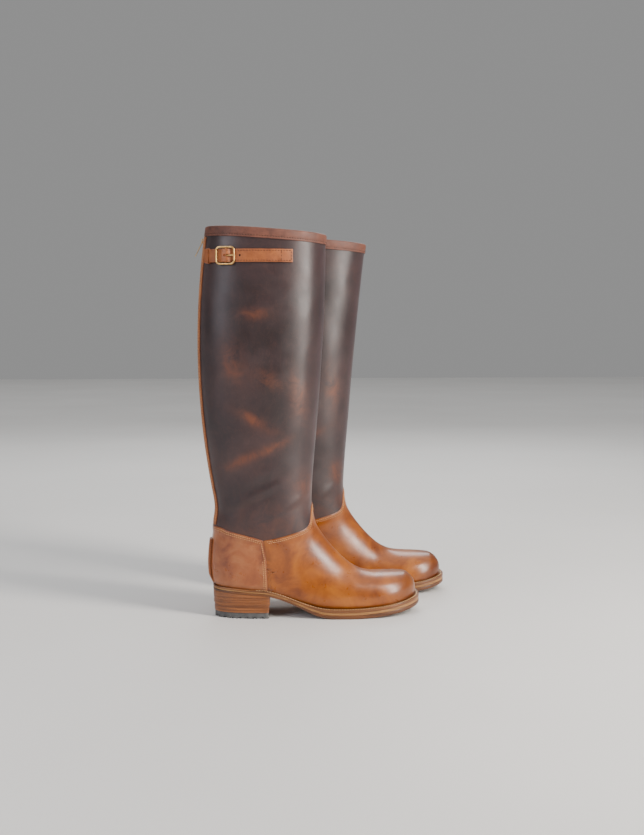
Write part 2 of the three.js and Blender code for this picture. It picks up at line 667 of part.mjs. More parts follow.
function zipSlider() {
  const half = SLIDER_LENGTH / 2;
  const plateFace = SLIDER_OUTER_FACE - SLIDER_PLATE;
  const width = SLIDER_HALF_WIDTH;
  const outer = block([plateFace, -width, -half], [SLIDER_OUTER_FACE, width, half]);
  const innerFace = SLIDER_INNER_FACE + SLIDER_INNER_PLATE;
  const inner = block([SLIDER_INNER_FACE, -width, -half + 2], [innerFace, width, half]);
  const intoPlate = plateFace + WELD;
  const post = block([intoPlate, -SLIDER_POST, half - 5], [innerFace - WELD, SLIDER_POST, half - 0.5]);
  const top = plateFace - ARCH_OPENING - ARCH_BAR;
  const archFoot = [intoPlate, ARCH_HALF_WIDTH, ARCH_HALF_LENGTH];
  const arch = block([top, -ARCH_HALF_WIDTH, -ARCH_HALF_LENGTH], archFoot);
  const opening = ARCH_HALF_LENGTH - ARCH_BAR;
  const window = block([plateFace - ARCH_OPENING, -2, -opening], [plateFace, 2, opening]);
  return outer.add(inner).add(post).add(arch.subtract(window));
}

/** The pull hangs along -Z from its cross bar, which lies on the Y axis. */
function zipPull() {
  const half = PULL_WIDTH / 2;
  const bar = solid(new THREE.CylinderGeometry(PULL_BAR_RADIUS, PULL_BAR_RADIUS, PULL_WIDTH, 8));
  const thick = PULL_THICKNESS / 2;
  let pull = bar;
  for (const side of [-1, 1]) {
    const edges = [side * (ARCH_HALF_WIDTH + 0.5), side * half].sort((a, b) => a - b);
    pull = pull.add(block([-thick, edges[0], -PULL_EYE - 0.5], [thick, edges[1], 0]));
  }
  const outline = new THREE.Shape();
  outline.moveTo(-half, -PULL_EYE);
  outline.lineTo(-half, -PULL_LENGTH + half);
  outline.absarc(0, -PULL_LENGTH + half, half, Math.PI, 2 * Math.PI);
  outline.lineTo(half, -PULL_EYE);
  const flat = { depth: PULL_THICKNESS, bevelEnabled: false, curveSegments: 6 };
  const tab = new THREE.ExtrudeGeometry(outline, flat);
  tab.rotateX(Math.PI / 2).rotateZ(Math.PI / 2).translate(-thick, 0, 0);
  return pull.add(solid(tab));
}

// ---- Strap and buckle, along the outer side of the leg ------------------------------------------

/** The leg's outer side at the strap's height, as points with their distance from the buckle. */
function strapWall(flare) {
  const height = STRAP_HEIGHT;
  let [low, high] = [0, LEG_STATIONS];
  for (let turn = 0; turn < 40; turn += 1) {
    const middle = (low + high) / 2;
    if (surfacePoint(middle, 0, flare).z > height) low = middle;
    else high = middle;
  }
  const points = [];
  const samples = 240;
  for (let sample = 1; sample < samples; sample += 1) {
    const angle = 2 * Math.PI - (Math.PI * sample) / samples;
    const point = surfacePoint(low, angle, flare);
    points.push(new THREE.Vector2(point.x, point.y));
  }
  points.reverse();
  const distances = [0];
  for (let index = 1; index < points.length; index += 1) {
    distances.push(distances[index - 1] + points[index].distanceTo(points[index - 1]));
  }
  const centreIndex = points.findIndex((point) => point.x > BUCKLE_X);
  const share = (BUCKLE_X - points[centreIndex - 1].x) / (points[centreIndex].x - points[centreIndex - 1].x);
  const centre = mix(distances[centreIndex - 1], distances[centreIndex], share);
  const at = (along, rise) => {
    const wanted = centre + along;
    const beyond = distances.findIndex((distance) => distance > wanted);
    const index = THREE.MathUtils.clamp(beyond, 1, points.length - 1);
    const part = (wanted - distances[index - 1]) / (distances[index] - distances[index - 1]);
    const foot = points[index - 1].clone().lerp(points[index], part);
    const tangent = points[index].clone().sub(points[index - 1]).normalize();
    return { point: new THREE.Vector2(foot.x + tangent.y * rise, foot.y - tangent.x * rise), tangent };
  };
  return { at };
}

/** An outline of [along, rise] pairs laid on the wall and extruded to a width, centred on the strap. */
function onWall(wall, outline, halfWidth, hole = null) {
  const shape = new THREE.Shape(outline.map(([along, rise]) => wall.at(along, rise).point));
  if (hole) shape.holes.push(new THREE.Path(hole.map(([along, rise]) => wall.at(along, rise).point)));
  return solid(uprightPrism(shape, STRAP_HEIGHT - halfWidth, STRAP_HEIGHT + halfWidth));
}

/** How high the strap's underside stands off the leg: flat, over the centre bar, then on the chape. */
function strapRise(along) {
  const overBar = CENTRE_BAR_RISE + CENTRE_BAR_RADIUS + LAYER_GAP + 1 + LAYER_GAP;
  if (along < 0) return mix(overBar, WALL_CLEARANCE + 2.2, easeBetween(-along, 2.5, 9));
  return mix(overBar, WALL_CLEARANCE, easeBetween(along, 2, 9.5));
}

function strap(wall) {
  const stations = [-STRAP_TIP, -26, -19, -13, -9, -6, -4, -2, 0, 2, 4, 6, 8, 10, 15, 24];
  for (let along = 36; along < STRAP_FRONT - 5; along += 12) stations.push(along);
  stations.push(STRAP_FRONT);
  const under = stations.map((along) => [along, strapRise(along)]);
  const over = stations.map((along) => [along, strapRise(along) + STRAP_THICKNESS]).reverse();
  const slot = onWall(wall, [[-1, 2], [9, 0], [9, 12], [-1, 12]], PRONG_HALF_WIDTH + PRONG_CLEARANCE);
  return onWall(wall, [...under, ...over], STRAP_WIDTH / 2).subtract(slot);
}

function ringPoints(radius, count, rise = 0) {
  return Array.from({ length: count }, (_, index) => {
    const angle = (2 * Math.PI * index) / count;
    return [radius * Math.cos(angle), rise + radius * Math.sin(angle)];
  });
}

/** The chape is folded round the centre bar and sewn down behind; the keeper is sewn into it. */
function chape(wall) {
  const low = WALL_CLEARANCE;
  const high = WALL_CLEARANCE + 1.9;
  const top = CENTRE_BAR_RISE + CENTRE_BAR_RADIUS + LAYER_GAP + 1;
  const outline = [
    [-CHAPE_LENGTH, low],
    [-24, low],
    [-12, low],
    [-4, low - 0.3],
    [1, low - 0.3],
    [2.2, 1.7],
    [2.4, CENTRE_BAR_RISE],
    [1.7, top - 0.7],
    [0.3, top],
    [-1.2, top],
    [-3.2, top - 0.8],
    [-6, high],
    [-12, high],
    [-24, high],
    [-CHAPE_LENGTH, high],
  ];
  const eye = ringPoints(CENTRE_BAR_RADIUS + LAYER_GAP, 12, CENTRE_BAR_RISE).reverse();
  const halfWidth = CHAPE_WIDTH / 2;
  const slotOutline = [[-3.2, -2], [6, -2], [6, 9], [-3.2, 9]];
  const prongSlot = onWall(wall, slotOutline, PRONG_HALF_WIDTH + PRONG_CLEARANCE);
  const body = onWall(wall, outline, halfWidth, eye).subtract(prongSlot);
  const strapTop = strapRise(KEEPER_START) + STRAP_THICKNESS + LAYER_GAP;
  const ends = [KEEPER_START, KEEPER_END];
  const band = (from, to) => [[ends[0], from], [ends[1], from], [ends[1], to], [ends[0], to]];
  const inside = STRAP_WIDTH / 2 + LAYER_GAP;
  const loop = onWall(wall, band(low, strapTop + KEEPER_THICKNESS), inside + KEEPER_THICKNESS);
  const room = onWall(wall, band(high, strapTop), inside);
  const wide = [[ends[0] - 1, high], [ends[1] + 1, high], [ends[1] + 1, strapTop], [ends[0] - 1, strapTop]];
  return body.add(loop).subtract(room.add(onWall(wall, wide, inside)));
}

// The buckle is built flat in its own frame: +X along the strap to the front, +Y out from the
// leg, Z across the strap, with the origin on the leg's surface under the centre bar.

function roundedRectangle(length, width, radius) {
  const [x, y] = [length / 2, width / 2];
  const shape = new THREE.Shape();
  shape.moveTo(x, -y + radius);
  shape.lineTo(x, y - radius);
  shape.absarc(x - radius, y - radius, radius, 0, Math.PI / 2);
  shape.lineTo(-x + radius, y);
  shape.absarc(-x + radius, y - radius, radius, Math.PI / 2, Math.PI);
  shape.lineTo(-x, -y + radius);
  shape.absarc(-x + radius, -y + radius, radius, Math.PI, 1.5 * Math.PI);
  shape.lineTo(x - radius, -y);
  shape.absarc(x - radius, -y + radius, radius, 1.5 * Math.PI, 2 * Math.PI);
  return shape;
}

function buckleFrame() {
  const ring = roundedRectangle(BUCKLE_LENGTH, BUCKLE_WIDTH, 5);
  const opening = roundedRectangle(BUCKLE_LENGTH - 2 * BUCKLE_BAR, BUCKLE_WIDTH - 2 * BUCKLE_BAR, 3);
  ring.holes.push(new THREE.Path(opening.getPoints(4)));
  const frame = new THREE.ExtrudeGeometry(ring, { depth: 2.2, bevelEnabled: false, curveSegments: 4 });
  frame.translate(0, 0, -1.1).rotateX(-Math.PI / 2).rotateZ(THREE.MathUtils.degToRad(-BUCKLE_TILT));
  frame.translate(0, BUCKLE_PLANE_RISE, 0);
  const bar = new THREE.CylinderGeometry(CENTRE_BAR_RADIUS, CENTRE_BAR_RADIUS, BUCKLE_WIDTH - BUCKLE_BAR, 10);
  bar.rotateX(Math.PI / 2).translate(0, CENTRE_BAR_RISE, 0);
  const side = BUCKLE_WIDTH / 2 - BUCKLE_BAR;
  let body = solid(frame).add(solid(bar));
  for (const end of [-1, 1]) {
    const [low, high] = end < 0 ? [-side - BUCKLE_BAR + 0.2, -side] : [side, side + BUCKLE_BAR - 0.2];
    body = body.add(block([-1.6, CENTRE_BAR_RISE - 1, low], [1.6, BUCKLE_PLANE_RISE, high]));
  }
  return body;
}

function buckleProng() {
  const eye = shapeOf(ringPoints(CENTRE_BAR_RADIUS + 1.1, 12));
  const hole = ringPoints(CENTRE_BAR_RADIUS + LAYER_GAP, 12).reverse();
  eye.holes.push(new THREE.Path(hole.map(([x, y]) => new THREE.Vector2(x, y))));
  const tilt = Math.tan(THREE.MathUtils.degToRad(BUCKLE_TILT));
  const frontBarTop = BUCKLE_PLANE_RISE + 1.1 - tilt * (BUCKLE_LENGTH / 2 - BUCKLE_BAR) - CENTRE_BAR_RISE;
  const tip = BUCKLE_LENGTH / 2 + 0.8;
  const arm = shapeOf([
    [0.4, 1.35],
    [1.6, 1.3],
    [tip - BUCKLE_BAR - 2, frontBarTop + LAYER_GAP],
    [tip, frontBarTop + LAYER_GAP],
    [tip, frontBarTop + LAYER_GAP + 0.7],
    [tip - 3, frontBarTop + LAYER_GAP + 1.2],
    [0.4, 1.95],
  ]);
  const eyeSolid = solid(uprightPrism(eye, -PRONG_HALF_WIDTH, PRONG_HALF_WIDTH));
  return eyeSolid.add(solid(uprightPrism(arm, -PRONG_HALF_WIDTH, PRONG_HALF_WIDTH)));
}

// ---- Sole and heel ------------------------------------------------------------------------------

function soleParts(layers, flare) {
  const feather = featherOutline(flare);
  const edge = movedOut(feather, weltReach);
  const edgePrism = outlinePrism(edge);
  const insideWelt = outlinePrism(movedOut(feather, () => -WELT_TUCK));
  const insideGap = outlinePrism(movedOut(feather, () => -WELT_TUCK - LAYER_GAP));
  const layer = (top, bottom) => between(soleLine(bottom), soleLine(top, top > 0 ? -LAYER_GAP : 0));
  const weltLayer = layer(0, WELT_SHARE);
  const midsoleEnd = WELT_SHARE + MIDSOLE_SHARE;
  const room = layers.at(FOOT_ROOM);
  const insoleTop = LAYER_GAP + INSOLE;
  const linerLow = insoleTop + LAYER_GAP;
  const shankBlock = (room) => {
    const half = SHANK_HALF_WIDTH + room;
    return block([SHANK_START - room, -half, 0], [SHANK_END + room, half, SPAN]);
  };
  const shankLayer = between(soleLine(WELT_SHARE, 0.2), soleLine(WELT_SHARE, 1.2));
  const filler = insideGap.intersect(between(soleLine(WELT_SHARE), soleLine(0, -LAYER_GAP)));
  return {
    edge,
    welt: edgePrism.intersect(weltLayer).subtract(insideWelt),
    midsole: edgePrism.intersect(layer(WELT_SHARE, midsoleEnd)),
    outsole: edgePrism.intersect(layer(midsoleEnd, 1)),
    insole: room.intersect(between(soleLine(0, LAYER_GAP), soleLine(0, insoleTop))),
    sock_liner: room.intersect(between(soleLine(0, linerLow), soleLine(0, linerLow + SOCK_LINER))),
    cork_filler: filler.subtract(shankBlock(SHANK_ROOM)),
    shank: insideGap.intersect(shankLayer).intersect(shankBlock(0)),
  };
}

function heelOutline(edge, inset) {
  const inward = movedOut(edge, () => -inset);
  return outlinePrism(inward).intersect(block([BEHIND, -SPAN, -20], [HEEL_BREAST_X - inset, SPAN, SPAN]));
}

function heelParts(edge) {
  const slice = (inset, low, high) =>
    heelOutline(edge, inset).intersect(block([BEHIND, -SPAN, low], [SPAN, SPAN, high]));
  const lowerTop = TOPLIFT_HEIGHT + LIFT_HEIGHT;
  const upperTop = lowerTop + LIFT_HEIGHT;
  let toplift = slice(3 * HEEL_TAPER, 0, TOPLIFT_HEIGHT);
  for (let x = TREAD_PITCH; x < HEEL_BREAST_X - TREAD_PITCH / 2; x += TREAD_PITCH) {
    const groove = block([x - TREAD_WIDTH / 2, -SPAN, -1], [x + TREAD_WIDTH / 2, SPAN, TREAD_DEPTH]);
    toplift = toplift.subtract(groove);
  }
  const underSole = between(profileXs.map((x) => [x, -SPAN]), soleLine(1, -LAYER_GAP));
  return {
    seat_lift: slice(HEEL_TAPER / 2, upperTop, SPAN).intersect(underSole),
    heel_lift_upper: slice(HEEL_TAPER, lowerTop, upperTop),
    heel_lift_lower: slice(2 * HEEL_TAPER, TOPLIFT_HEIGHT, lowerTop),
    heel_toplift: toplift,
  };
}

// ---- Assembly -----------------------------------------------------------------------------------

const MATERIAL_OF = {
  shaft: materials.shaftLeather,
  shaft_lining: materials.liningLeather,
  top_binding: materials.trimLeather,
  zip_facing_outer: materials.trimLeather,
  zip_facing_inner: materials.trimLeather,
  zip_tape_outer: materials.zipTape,
  zip_tape_inner: materials.zipTape,
  zip_slider: materials.brass,
  zip_pull: materials.brass,
  counter: materials.counterLeather,
  heel_stiffener: materials.stiffener,
  spur_rest: materials.strapLeather,
  vamp: materials.tanLeather,
  foot_lining: materials.liningLeather,
  toe_puff: materials.stiffener,
  welt: materials.weltLeather,
  midsole: materials.soleLeather,
  outsole: materials.soleLeather,
  insole: materials.liningLeather,
  sock_liner: materials.liningLeather,
  cork_filler: materials.cork,
  shank: materials.steel,
  seat_lift: materials.heelLeather,
  heel_lift_upper: materials.heelLeather,
  heel_lift_lower: materials.heelLeather,
  heel_toplift: materials.rubber,
  strap: materials.strapLeather,
  strap_chape: materials.strapLeather,
  buckle_frame: materials.brass,
  buckle_prong: materials.brass,
};

/** Every piece of one boot by name, each as a geometry in the boot's frame. */
function bootPieces(flare) {
  const layers = layerMaker(flare);
  const { edge, ...sole } = soleParts(layers, flare);
  const wall = strapWall(flare);
  const solids = {
    ...upperParts(layers),
    top_binding: topBinding(layers),
    spur_rest: spurRest(layers),
    zip_facing_outer: zipFacing(layers, -1),
    zip_facing_inner: zipFacing(layers, 1),
    zip_tape_outer: zipTape(layers, -1),
    zip_tape_inner: zipTape(layers, 1),
    ...sole,
    ...heelParts(edge),
    strap: strap(wall),
    strap_chape: chape(wall),
  };
  const pieces = Object.fromEntries(Object.entries(solids).map(([name, body]) => [name, geometryOf(body)]));
  const sliderTurn = Math.asin((SLIDER_HEIGHT - BACK_BULGE_HEIGHT) / BACK_RADIUS);
  const sliderPlace = new THREE.Matrix4()
    .makeRotationY(sliderTurn)
    .setPosition(backArc(SLIDER_HEIGHT), 0, SLIDER_HEIGHT);
  const pullAxis = new THREE.Vector3(PULL_AXIS_X, 0, 0).applyMatrix4(sliderPlace);
  const pullTurn = THREE.MathUtils.degToRad(PULL_TILT);
  const pullPlace = new THREE.Matrix4().makeRotationY(pullTurn).setPosition(pullAxis);
  pieces.zip_slider = geometryOf(zipSlider()).applyMatrix4(sliderPlace);
  pieces.zip_pull = geometryOf(zipPull()).applyMatrix4(pullPlace);
  const { point, tangent } = wall.at(0, 0);
  const buckleBase = new THREE.Matrix4()
    .makeBasis(
      new THREE.Vector3(tangent.x, tangent.y, 0),
      new THREE.Vector3(tangent.y, -tangent.x, 0),
      new THREE.Vector3(0, 0, -1),
    )
    .setPosition(point.x, point.y, STRAP_HEIGHT);
  const barCentre = new THREE.Vector3(0, CENTRE_BAR_RISE, 0).applyMatrix4(buckleBase);
  pieces.buckle_frame = geometryOf(buckleFrame()).applyMatrix4(buckleBase);
  pieces.buckle_prong = geometryOf(buckleProng()).applyMatrix4(buckleBase.clone().setPosition(barCentre));
  return pieces;
}

/** Turns a geometry over sideways, keeping its faces outward. */
function mirrored(geometry) {
  const turned = geometry.index ? geometry : mergeVertices(geometry);
  turned.scale(1, -1, 1);
  const index = turned.index.array;
  for (let corner = 0; corner < index.length; corner += 3) {
    [index[corner], index[corner + 1]] = [index[corner + 1], index[corner]];
  }
  return turned;
}

function boot(prefix, flare, mirror) {
  const group = new THREE.Group();
  for (const [name, geometry] of Object.entries(bootPieces(flare))) {
    const mesh = new THREE.Mesh(mirror ? mirrored(geometry) : geometry, MATERIAL_OF[name]);
    mesh.name = `${prefix}_${name}`;
    group.add(mesh);
  }
  return group;
}

const pair = new THREE.Group();
const right = boot("right", 0, false);
const left = boot("left", LEFT_FLARE, true);
left.position.set(LEFT_FORWARD, BOOT_SPACING, 0);
pair.add(right, left);

// The origin is the centre of the pair's footprint, on the floor.
pair.updateMatrixWorld(true);
const extent = new THREE.Box3().setFromObject(pair);
pair.position.set(-(extent.min.x + extent.max.x) / 2, -(extent.min.y + extent.max.y) / 2, -extent.min.z);

export default pair;
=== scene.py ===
"""How the riding boots look: leather panels, stitching, zip, buckle, heel stack and their finishes.

Every length is in millimetres in one boot's own frame (toe at +X, floor at z = 0, the outer side
of the right foot at -Y) until place() turns it into metres in the frame of the CAD.
"""

import math

import bmesh
import bpy
import numpy as np
from mathutils import Matrix, Vector
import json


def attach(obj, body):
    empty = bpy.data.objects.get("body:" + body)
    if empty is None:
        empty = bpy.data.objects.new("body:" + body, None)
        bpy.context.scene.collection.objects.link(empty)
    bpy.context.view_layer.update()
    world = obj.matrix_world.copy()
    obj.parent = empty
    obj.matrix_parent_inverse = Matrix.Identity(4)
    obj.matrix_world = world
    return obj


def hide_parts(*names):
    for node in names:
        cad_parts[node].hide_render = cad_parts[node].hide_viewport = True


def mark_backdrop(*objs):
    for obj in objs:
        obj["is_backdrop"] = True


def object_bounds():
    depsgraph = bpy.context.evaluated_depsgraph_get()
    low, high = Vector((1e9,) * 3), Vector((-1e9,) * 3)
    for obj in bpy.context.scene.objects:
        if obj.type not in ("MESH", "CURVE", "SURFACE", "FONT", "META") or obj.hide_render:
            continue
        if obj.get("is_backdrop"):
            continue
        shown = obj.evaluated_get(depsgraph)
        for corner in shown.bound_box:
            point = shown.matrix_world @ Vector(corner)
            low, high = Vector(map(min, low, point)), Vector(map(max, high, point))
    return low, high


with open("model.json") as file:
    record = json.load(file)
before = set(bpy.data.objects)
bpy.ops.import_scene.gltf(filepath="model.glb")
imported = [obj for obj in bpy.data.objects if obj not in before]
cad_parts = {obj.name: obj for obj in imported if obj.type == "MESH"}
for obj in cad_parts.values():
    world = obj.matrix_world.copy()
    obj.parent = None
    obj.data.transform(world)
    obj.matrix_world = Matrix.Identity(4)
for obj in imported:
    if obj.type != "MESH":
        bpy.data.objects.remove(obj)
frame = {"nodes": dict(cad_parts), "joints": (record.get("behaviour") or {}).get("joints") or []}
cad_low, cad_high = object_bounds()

PI = math.pi
SIDES = ("right", "left")

# ---- Sizes, the same as the CAD's ---------------------------------------------------------------

SHAFT_HEIGHT = 523.0
TOPLINE_DROP = 10.0
TOP_FRONT_X, CALF_FRONT_X, ANKLE_FRONT_X = 158.6, 154.2, 139.0
TOP_HALF, CALF_HALF, ANKLE_HALF = 52.0, 54.0, 43.6
ANKLE_HEIGHT = 150.0
FLARE_START = 290.0
FLARE = {"right": 0.0, "left": 14.0}
BACK_RADIUS, BACK_BULGE_X, BACK_BULGE_HEIGHT = 1050.0, -12.8, 366.0
TOE_TIP_X, TOE_TOP, INSTEP_X, INSTEP = 284.5, 55.0, 172.5, 86.0
HEEL_HALF, BALL_HALF = 37.0, 45.5
SEAT = 43.5
HEEL_BREAST = 81.0
BALL_START, BALL_END = 165.0, 186.0
TOPLIFT = 8.0
WELT_SHARE, MIDSOLE_SHARE = 0.3, 0.28
LEATHER, GAP, TRIM = 2.0, 0.3, 1.2
LINING_OUTSIDE = -LEATHER - GAP
LINING_INSIDE = LINING_OUTSIDE - 1.0
BINDING, BINDING_ROW = 12.5, 2.9
SPUR_TOP, SPUR_BOTTOM = 105.0, 46.0
ZIP_BOTTOM, TAPE_BOTTOM = 131.0, 126.0
SLOT_HALF, FACING_HALF, FACING_ROW = 5.5, 15.5, 1.9
SLIDER_HEIGHT = SHAFT_HEIGHT - 18
STRAP_HEIGHT = SHAFT_HEIGHT - 39.5
STRAP_HALF = 8.5
BUCKLE_X = 24.6

CORNER = (70.6, 107.6)
COUNTER_TOP = [(-60, 127), (8, 124.5), (24, 120.5), (46, 115), (60, 111.4), CORNER]
COUNTER_FRONT = [CORNER, (71.6, 98), (75, 79), (79, 0)]
VAMP_BACK = np.array([(65.0, 112.0), (70.5, 0.0)])
VAMP_TOP = [
    CORNER, (89, 110.5), (111, 115.5), (126, 120), (132.5, 124.5),
    (135.5, 132), (137, 143), (138.6, 151), (141, 156.5), (145, 160), (152, 163), (165, 168),
]  # fmt: skip


def mix(low, high, share):
    return low + (high - low) * share


def ease(value, low, high):
    share = np.clip((value - low) / (high - low), 0, 1)
    return share * share * (3 - 2 * share)


# ---- The leg and foot surface ---------------------------------------------------------------------


def back_arc(height):
    rise = height - BACK_BULGE_HEIGHT
    return BACK_BULGE_X + BACK_RADIUS - np.sqrt(BACK_RADIUS**2 - rise**2)


def leg(share, front_x, half):
    height = mix(ANKLE_HEIGHT, SHAFT_HEIGHT + 22, share)
    return [front_x, height, back_arc(height), height, half, 0.5, 2.2, 2.2, 0]


def foot_x(share):
    return mix(INSTEP_X, TOE_TIP_X, share)


def foot_top(share):
    return mix(TOE_TOP, INSTEP, share)


# Front x and z, back x and z, half-width, where it is widest, roundness in front and behind,
# centre y.
STATIONS = np.array([
    leg(1, TOP_FRONT_X, TOP_HALF),
    leg(0.85, TOP_FRONT_X - 0.2, TOP_HALF),
    leg(0.7, mix(TOP_FRONT_X, CALF_FRONT_X, 0.35), mix(TOP_HALF, CALF_HALF, 0.7)),
    leg(0.545, CALF_FRONT_X, CALF_HALF),
    leg(0.39, mix(CALF_FRONT_X, ANKLE_FRONT_X, 0.27), mix(CALF_HALF, ANKLE_HALF, 0.18)),
    leg(0.255, mix(CALF_FRONT_X, ANKLE_FRONT_X, 0.55), mix(CALF_HALF, ANKLE_HALF, 0.5)),
    leg(0.14, mix(CALF_FRONT_X, ANKLE_FRONT_X, 0.82), mix(CALF_HALF, ANKLE_HALF, 0.8)),
    leg(0.055, ANKLE_FRONT_X + 0.5, ANKLE_HALF + 0.6),
    [139, 150, 8, 148, 43.6, 0.5, 2.2, 2.2, 0],
    [141.5, 133, 6, 123.5, 42.8, 0.5, 2.2, 2.2, 0],
    [146.5, 120.5, 2.8, 100.5, 41, 0.5, 2.2, 2.2, 0],
    [154, 109, 0.8, 78.5, 38.5, 0.5, 2.1, 2.2, 0],
    [162.5, 97.5, 1.2, 57, HEEL_HALF, 0.5, 2.1, 2.25, 0],
    [172.5, 86, 6, 40, HEEL_HALF, 0.5, 2.1, 2.3, 0],
    [foot_x(0.095), foot_top(0.645), 26, 32, HEEL_HALF, 0.5, 2.1, 2.5, 0],
    [foot_x(0.195), foot_top(0.345), 60, 28, 37.5, 0.5, 2.1, 2.6, 0],
    [foot_x(0.31), foot_top(0.13), 100, 19, mix(HEEL_HALF, BALL_HALF, 0.25), 0.47, 2.15, 2.7, -2],
    [foot_x(0.43), 55.8, 142, 8, mix(HEEL_HALF, BALL_HALF, 0.8), 0.4, 2.2, 3, -2],
    [foot_x(0.565), 55.2, foot_x(0.07), 5, BALL_HALF, 0.32, 2.25, 3.4, 0.5],
    [foot_x(0.7), 55, foot_x(0.38), 7, BALL_HALF, 0.3, 2.3, 3.4, 2.5],
    [foot_x(0.85), 54, foot_x(0.7), 10, 44.5, 0.32, 2.4, 3.4, 5],
    [TOE_TIP_X, 51.5, TOE_TIP_X, 12, 43, 0.36, 2.5, 3.2, 7.5],
])  # fmt: skip
LAST = len(STATIONS) - 1
LEG_STATIONS = 7


def station_at(position):
    """A smooth curve through the stations, as nine arrays."""
    start = np.minimum(np.floor(position).astype(int), LAST - 1)
    part = (position - start)[..., None]
    rest = 1 - part
    line = np.vstack([2 * STATIONS[0] - STATIONS[1], STATIONS, 2 * STATIONS[-1] - STATIONS[-2]])
    before, here, there, after = line[start], line[start + 1], line[start + 2], line[start + 3]
    value = (
        rest**3 * before
        + (3 * part**3 - 6 * part**2 + 4) * here
        + (3 * rest**3 - 6 * rest**2 + 4) * there
        + part**3 * after
    ) / 6
    return np.moveaxis(value, -1, 0)


def round_off(distance, length, power):
    share = np.clip(1 - distance / length, 0, 1)
    return (1 - share**power) ** (1 / power)


def bare_surface(position, angle, flare):
    """Point of the leather's outer face: angle 0 is the front, PI the back, below 0 the outer side."""
    position, angle = np.broadcast_arrays(np.asarray(position, float), np.asarray(angle, float))
    front_x, front_z, back_x, back_z, half, widest, front_power, back_power, centre = station_at(position)
    bulge = np.clip((front_z - FLARE_START) / (SHAFT_HEIGHT - FLARE_START), 0, None) ** 2 * flare
    front_x = front_x + bulge
    half = half - 0.35 * bulge
    back_x = mix(back_arc(back_z), back_x, ease(position, LEG_STATIONS, LEG_STATIONS + 1.8))
    forward, side = np.cos(angle), np.sin(angle)
    power = np.where(forward >= 0, front_power, back_power)
    along = np.abs(forward) ** (2 / power)
    across = np.abs(side) ** (2 / power) * np.sign(side)
    share = np.where(forward >= 0, mix(widest, 1, along), widest * (1 - along))
    x, z = mix(back_x, front_x, share), mix(back_z, front_z, share)
    to_tip = TOE_TIP_X - x
    y = centre + half * across * round_off(to_tip, 62, 2.2)
    return np.stack([x, y, mix(32, z, round_off(to_tip, 18, 2))], -1)


def surface_normal(position, angle, flare):
    step = 0.02
    low = np.maximum(0, position - step)
    high = np.minimum(LAST - 0.001, position + step)
    down = bare_surface(high, angle, flare) - bare_surface(low, angle, flare)
    around = bare_surface(position, angle + step, flare) - bare_surface(position, angle - step, flare)
    normal = -np.cross(around, down)
    return normal / np.maximum(np.linalg.norm(normal, axis=-1, keepdims=True), 1e-9)


def fold(point, start, end, width, depth, side):
    """A soft crease along a line seen from the side, on the outer (-1) or inner (1) face."""
    start, end = np.array(start, float), np.array(end, float)
    along = end - start
    reach = np.linalg.norm(along)
    along /= reach
    flat = point[..., [0, 2]] - start
    run = flat @ along
    off = flat @ np.array([-along[1], along[0]])
    fade = ease(run, -12, 14) * (1 - ease(run, reach - 14, reach + 12))
    facing = ease(side * point[..., 1], 4, 26)
    return depth * fade * facing * np.exp(-((off / width) ** 2))


# Each crease: start, end, width, depth out of the face, face.
FOLDS = [
    ((22, 150), (96, 186), 6, 0.9, -1), ((18, 140), (90, 174), 5, -0.7, -1),
    ((30, 176), (104, 214), 9, 0.8, -1), ((40, 170), (110, 200), 6, -0.6, -1),
    ((96, 150), (136, 170), 6, 0.7, -1), ((92, 136), (130, 160), 5, -0.5, -1),
    ((50, 232), (118, 262), 14, 0.6, -1), ((10, 250), (60, 236), 10, -0.5, -1),
    ((20, 146), (92, 178), 6, 0.9, 1), ((30, 170), (110, 208), 8, -0.7, 1),
    ((90, 142), (134, 166), 6, 0.7, 1), ((186, 60), (206, 44), 4, -0.35, -1),
    ((198, 62), (216, 44), 4, -0.3, 1), ((178, 70), (196, 48), 5, 0.3, -1),
]  # fmt: skip


def relief(point, flare):
    """The leather's own small unevenness: shallow waves, creases at the ankle and over the vamp."""
    x, y, z = np.moveaxis(point, -1, 0)
    shift = flare * 0.7
    wave = np.sin(x * 0.043 + z * 0.021 + shift) * np.sin(z * 0.031 - y * 0.05 + shift)
    ripple = np.sin(x * 0.11 - z * 0.073 + y * 0.06) * np.sin(z * 0.052 + x * 0.023 + 1.7 + shift)
    soft = ease(z, 128, 190) * (1 - ease(z, SHAFT_HEIGHT - 70, SHAFT_HEIGHT - 30))
    at_back = ease(np.abs(y), 14, 30)
    rise = (0.55 * wave + 0.2 * ripple) * soft * at_back
    for crease in FOLDS:
        rise = rise + fold(point, *crease)
    return rise


def surface(position, angle, flare, offset=0.0):
    point = bare_surface(position, angle, flare)
    out = relief(point, flare) + offset
    normal = surface_normal(np.asarray(position, float), np.asarray(angle, float), flare)
    return point + normal * out[..., None]


# ---- Lines on the surface -------------------------------------------------------------------------


def curve_between(before, here, there, after, share):
    """Point of a rounded curve between two points, led by the points on either side of them."""
    linear_part = (there - before) * share
    square_part = (2 * before - 5 * here + 4 * there - after) * share**2
    cubic_part = (3 * here - before - 3 * there + after) * share**3
    return 0.5 * (2 * here + linear_part + square_part + cubic_part)


def smooth_line(points, per_piece=10):
    """A rounded line through the points, which it meets."""
    line = np.array(points, float)
    ends = np.vstack([2 * line[0] - line[1], line, 2 * line[-1] - line[-2]])
    made = []
    for index in range(len(line) - 1):
        for share in np.linspace(0, 1, per_piece, endpoint=False):
            made.append(curve_between(*ends[index : index + 4], share))
    made.append(line[-1])
    return np.array(made)


def moved_line(line, distance):
    """The line moved to its left (above a line that runs forward)."""
    along = np.gradient(line, axis=0)
    along /= np.linalg.norm(along, axis=1, keepdims=True)
    return line + np.stack([-along[:, 1], along[:, 0]], 1) * distance


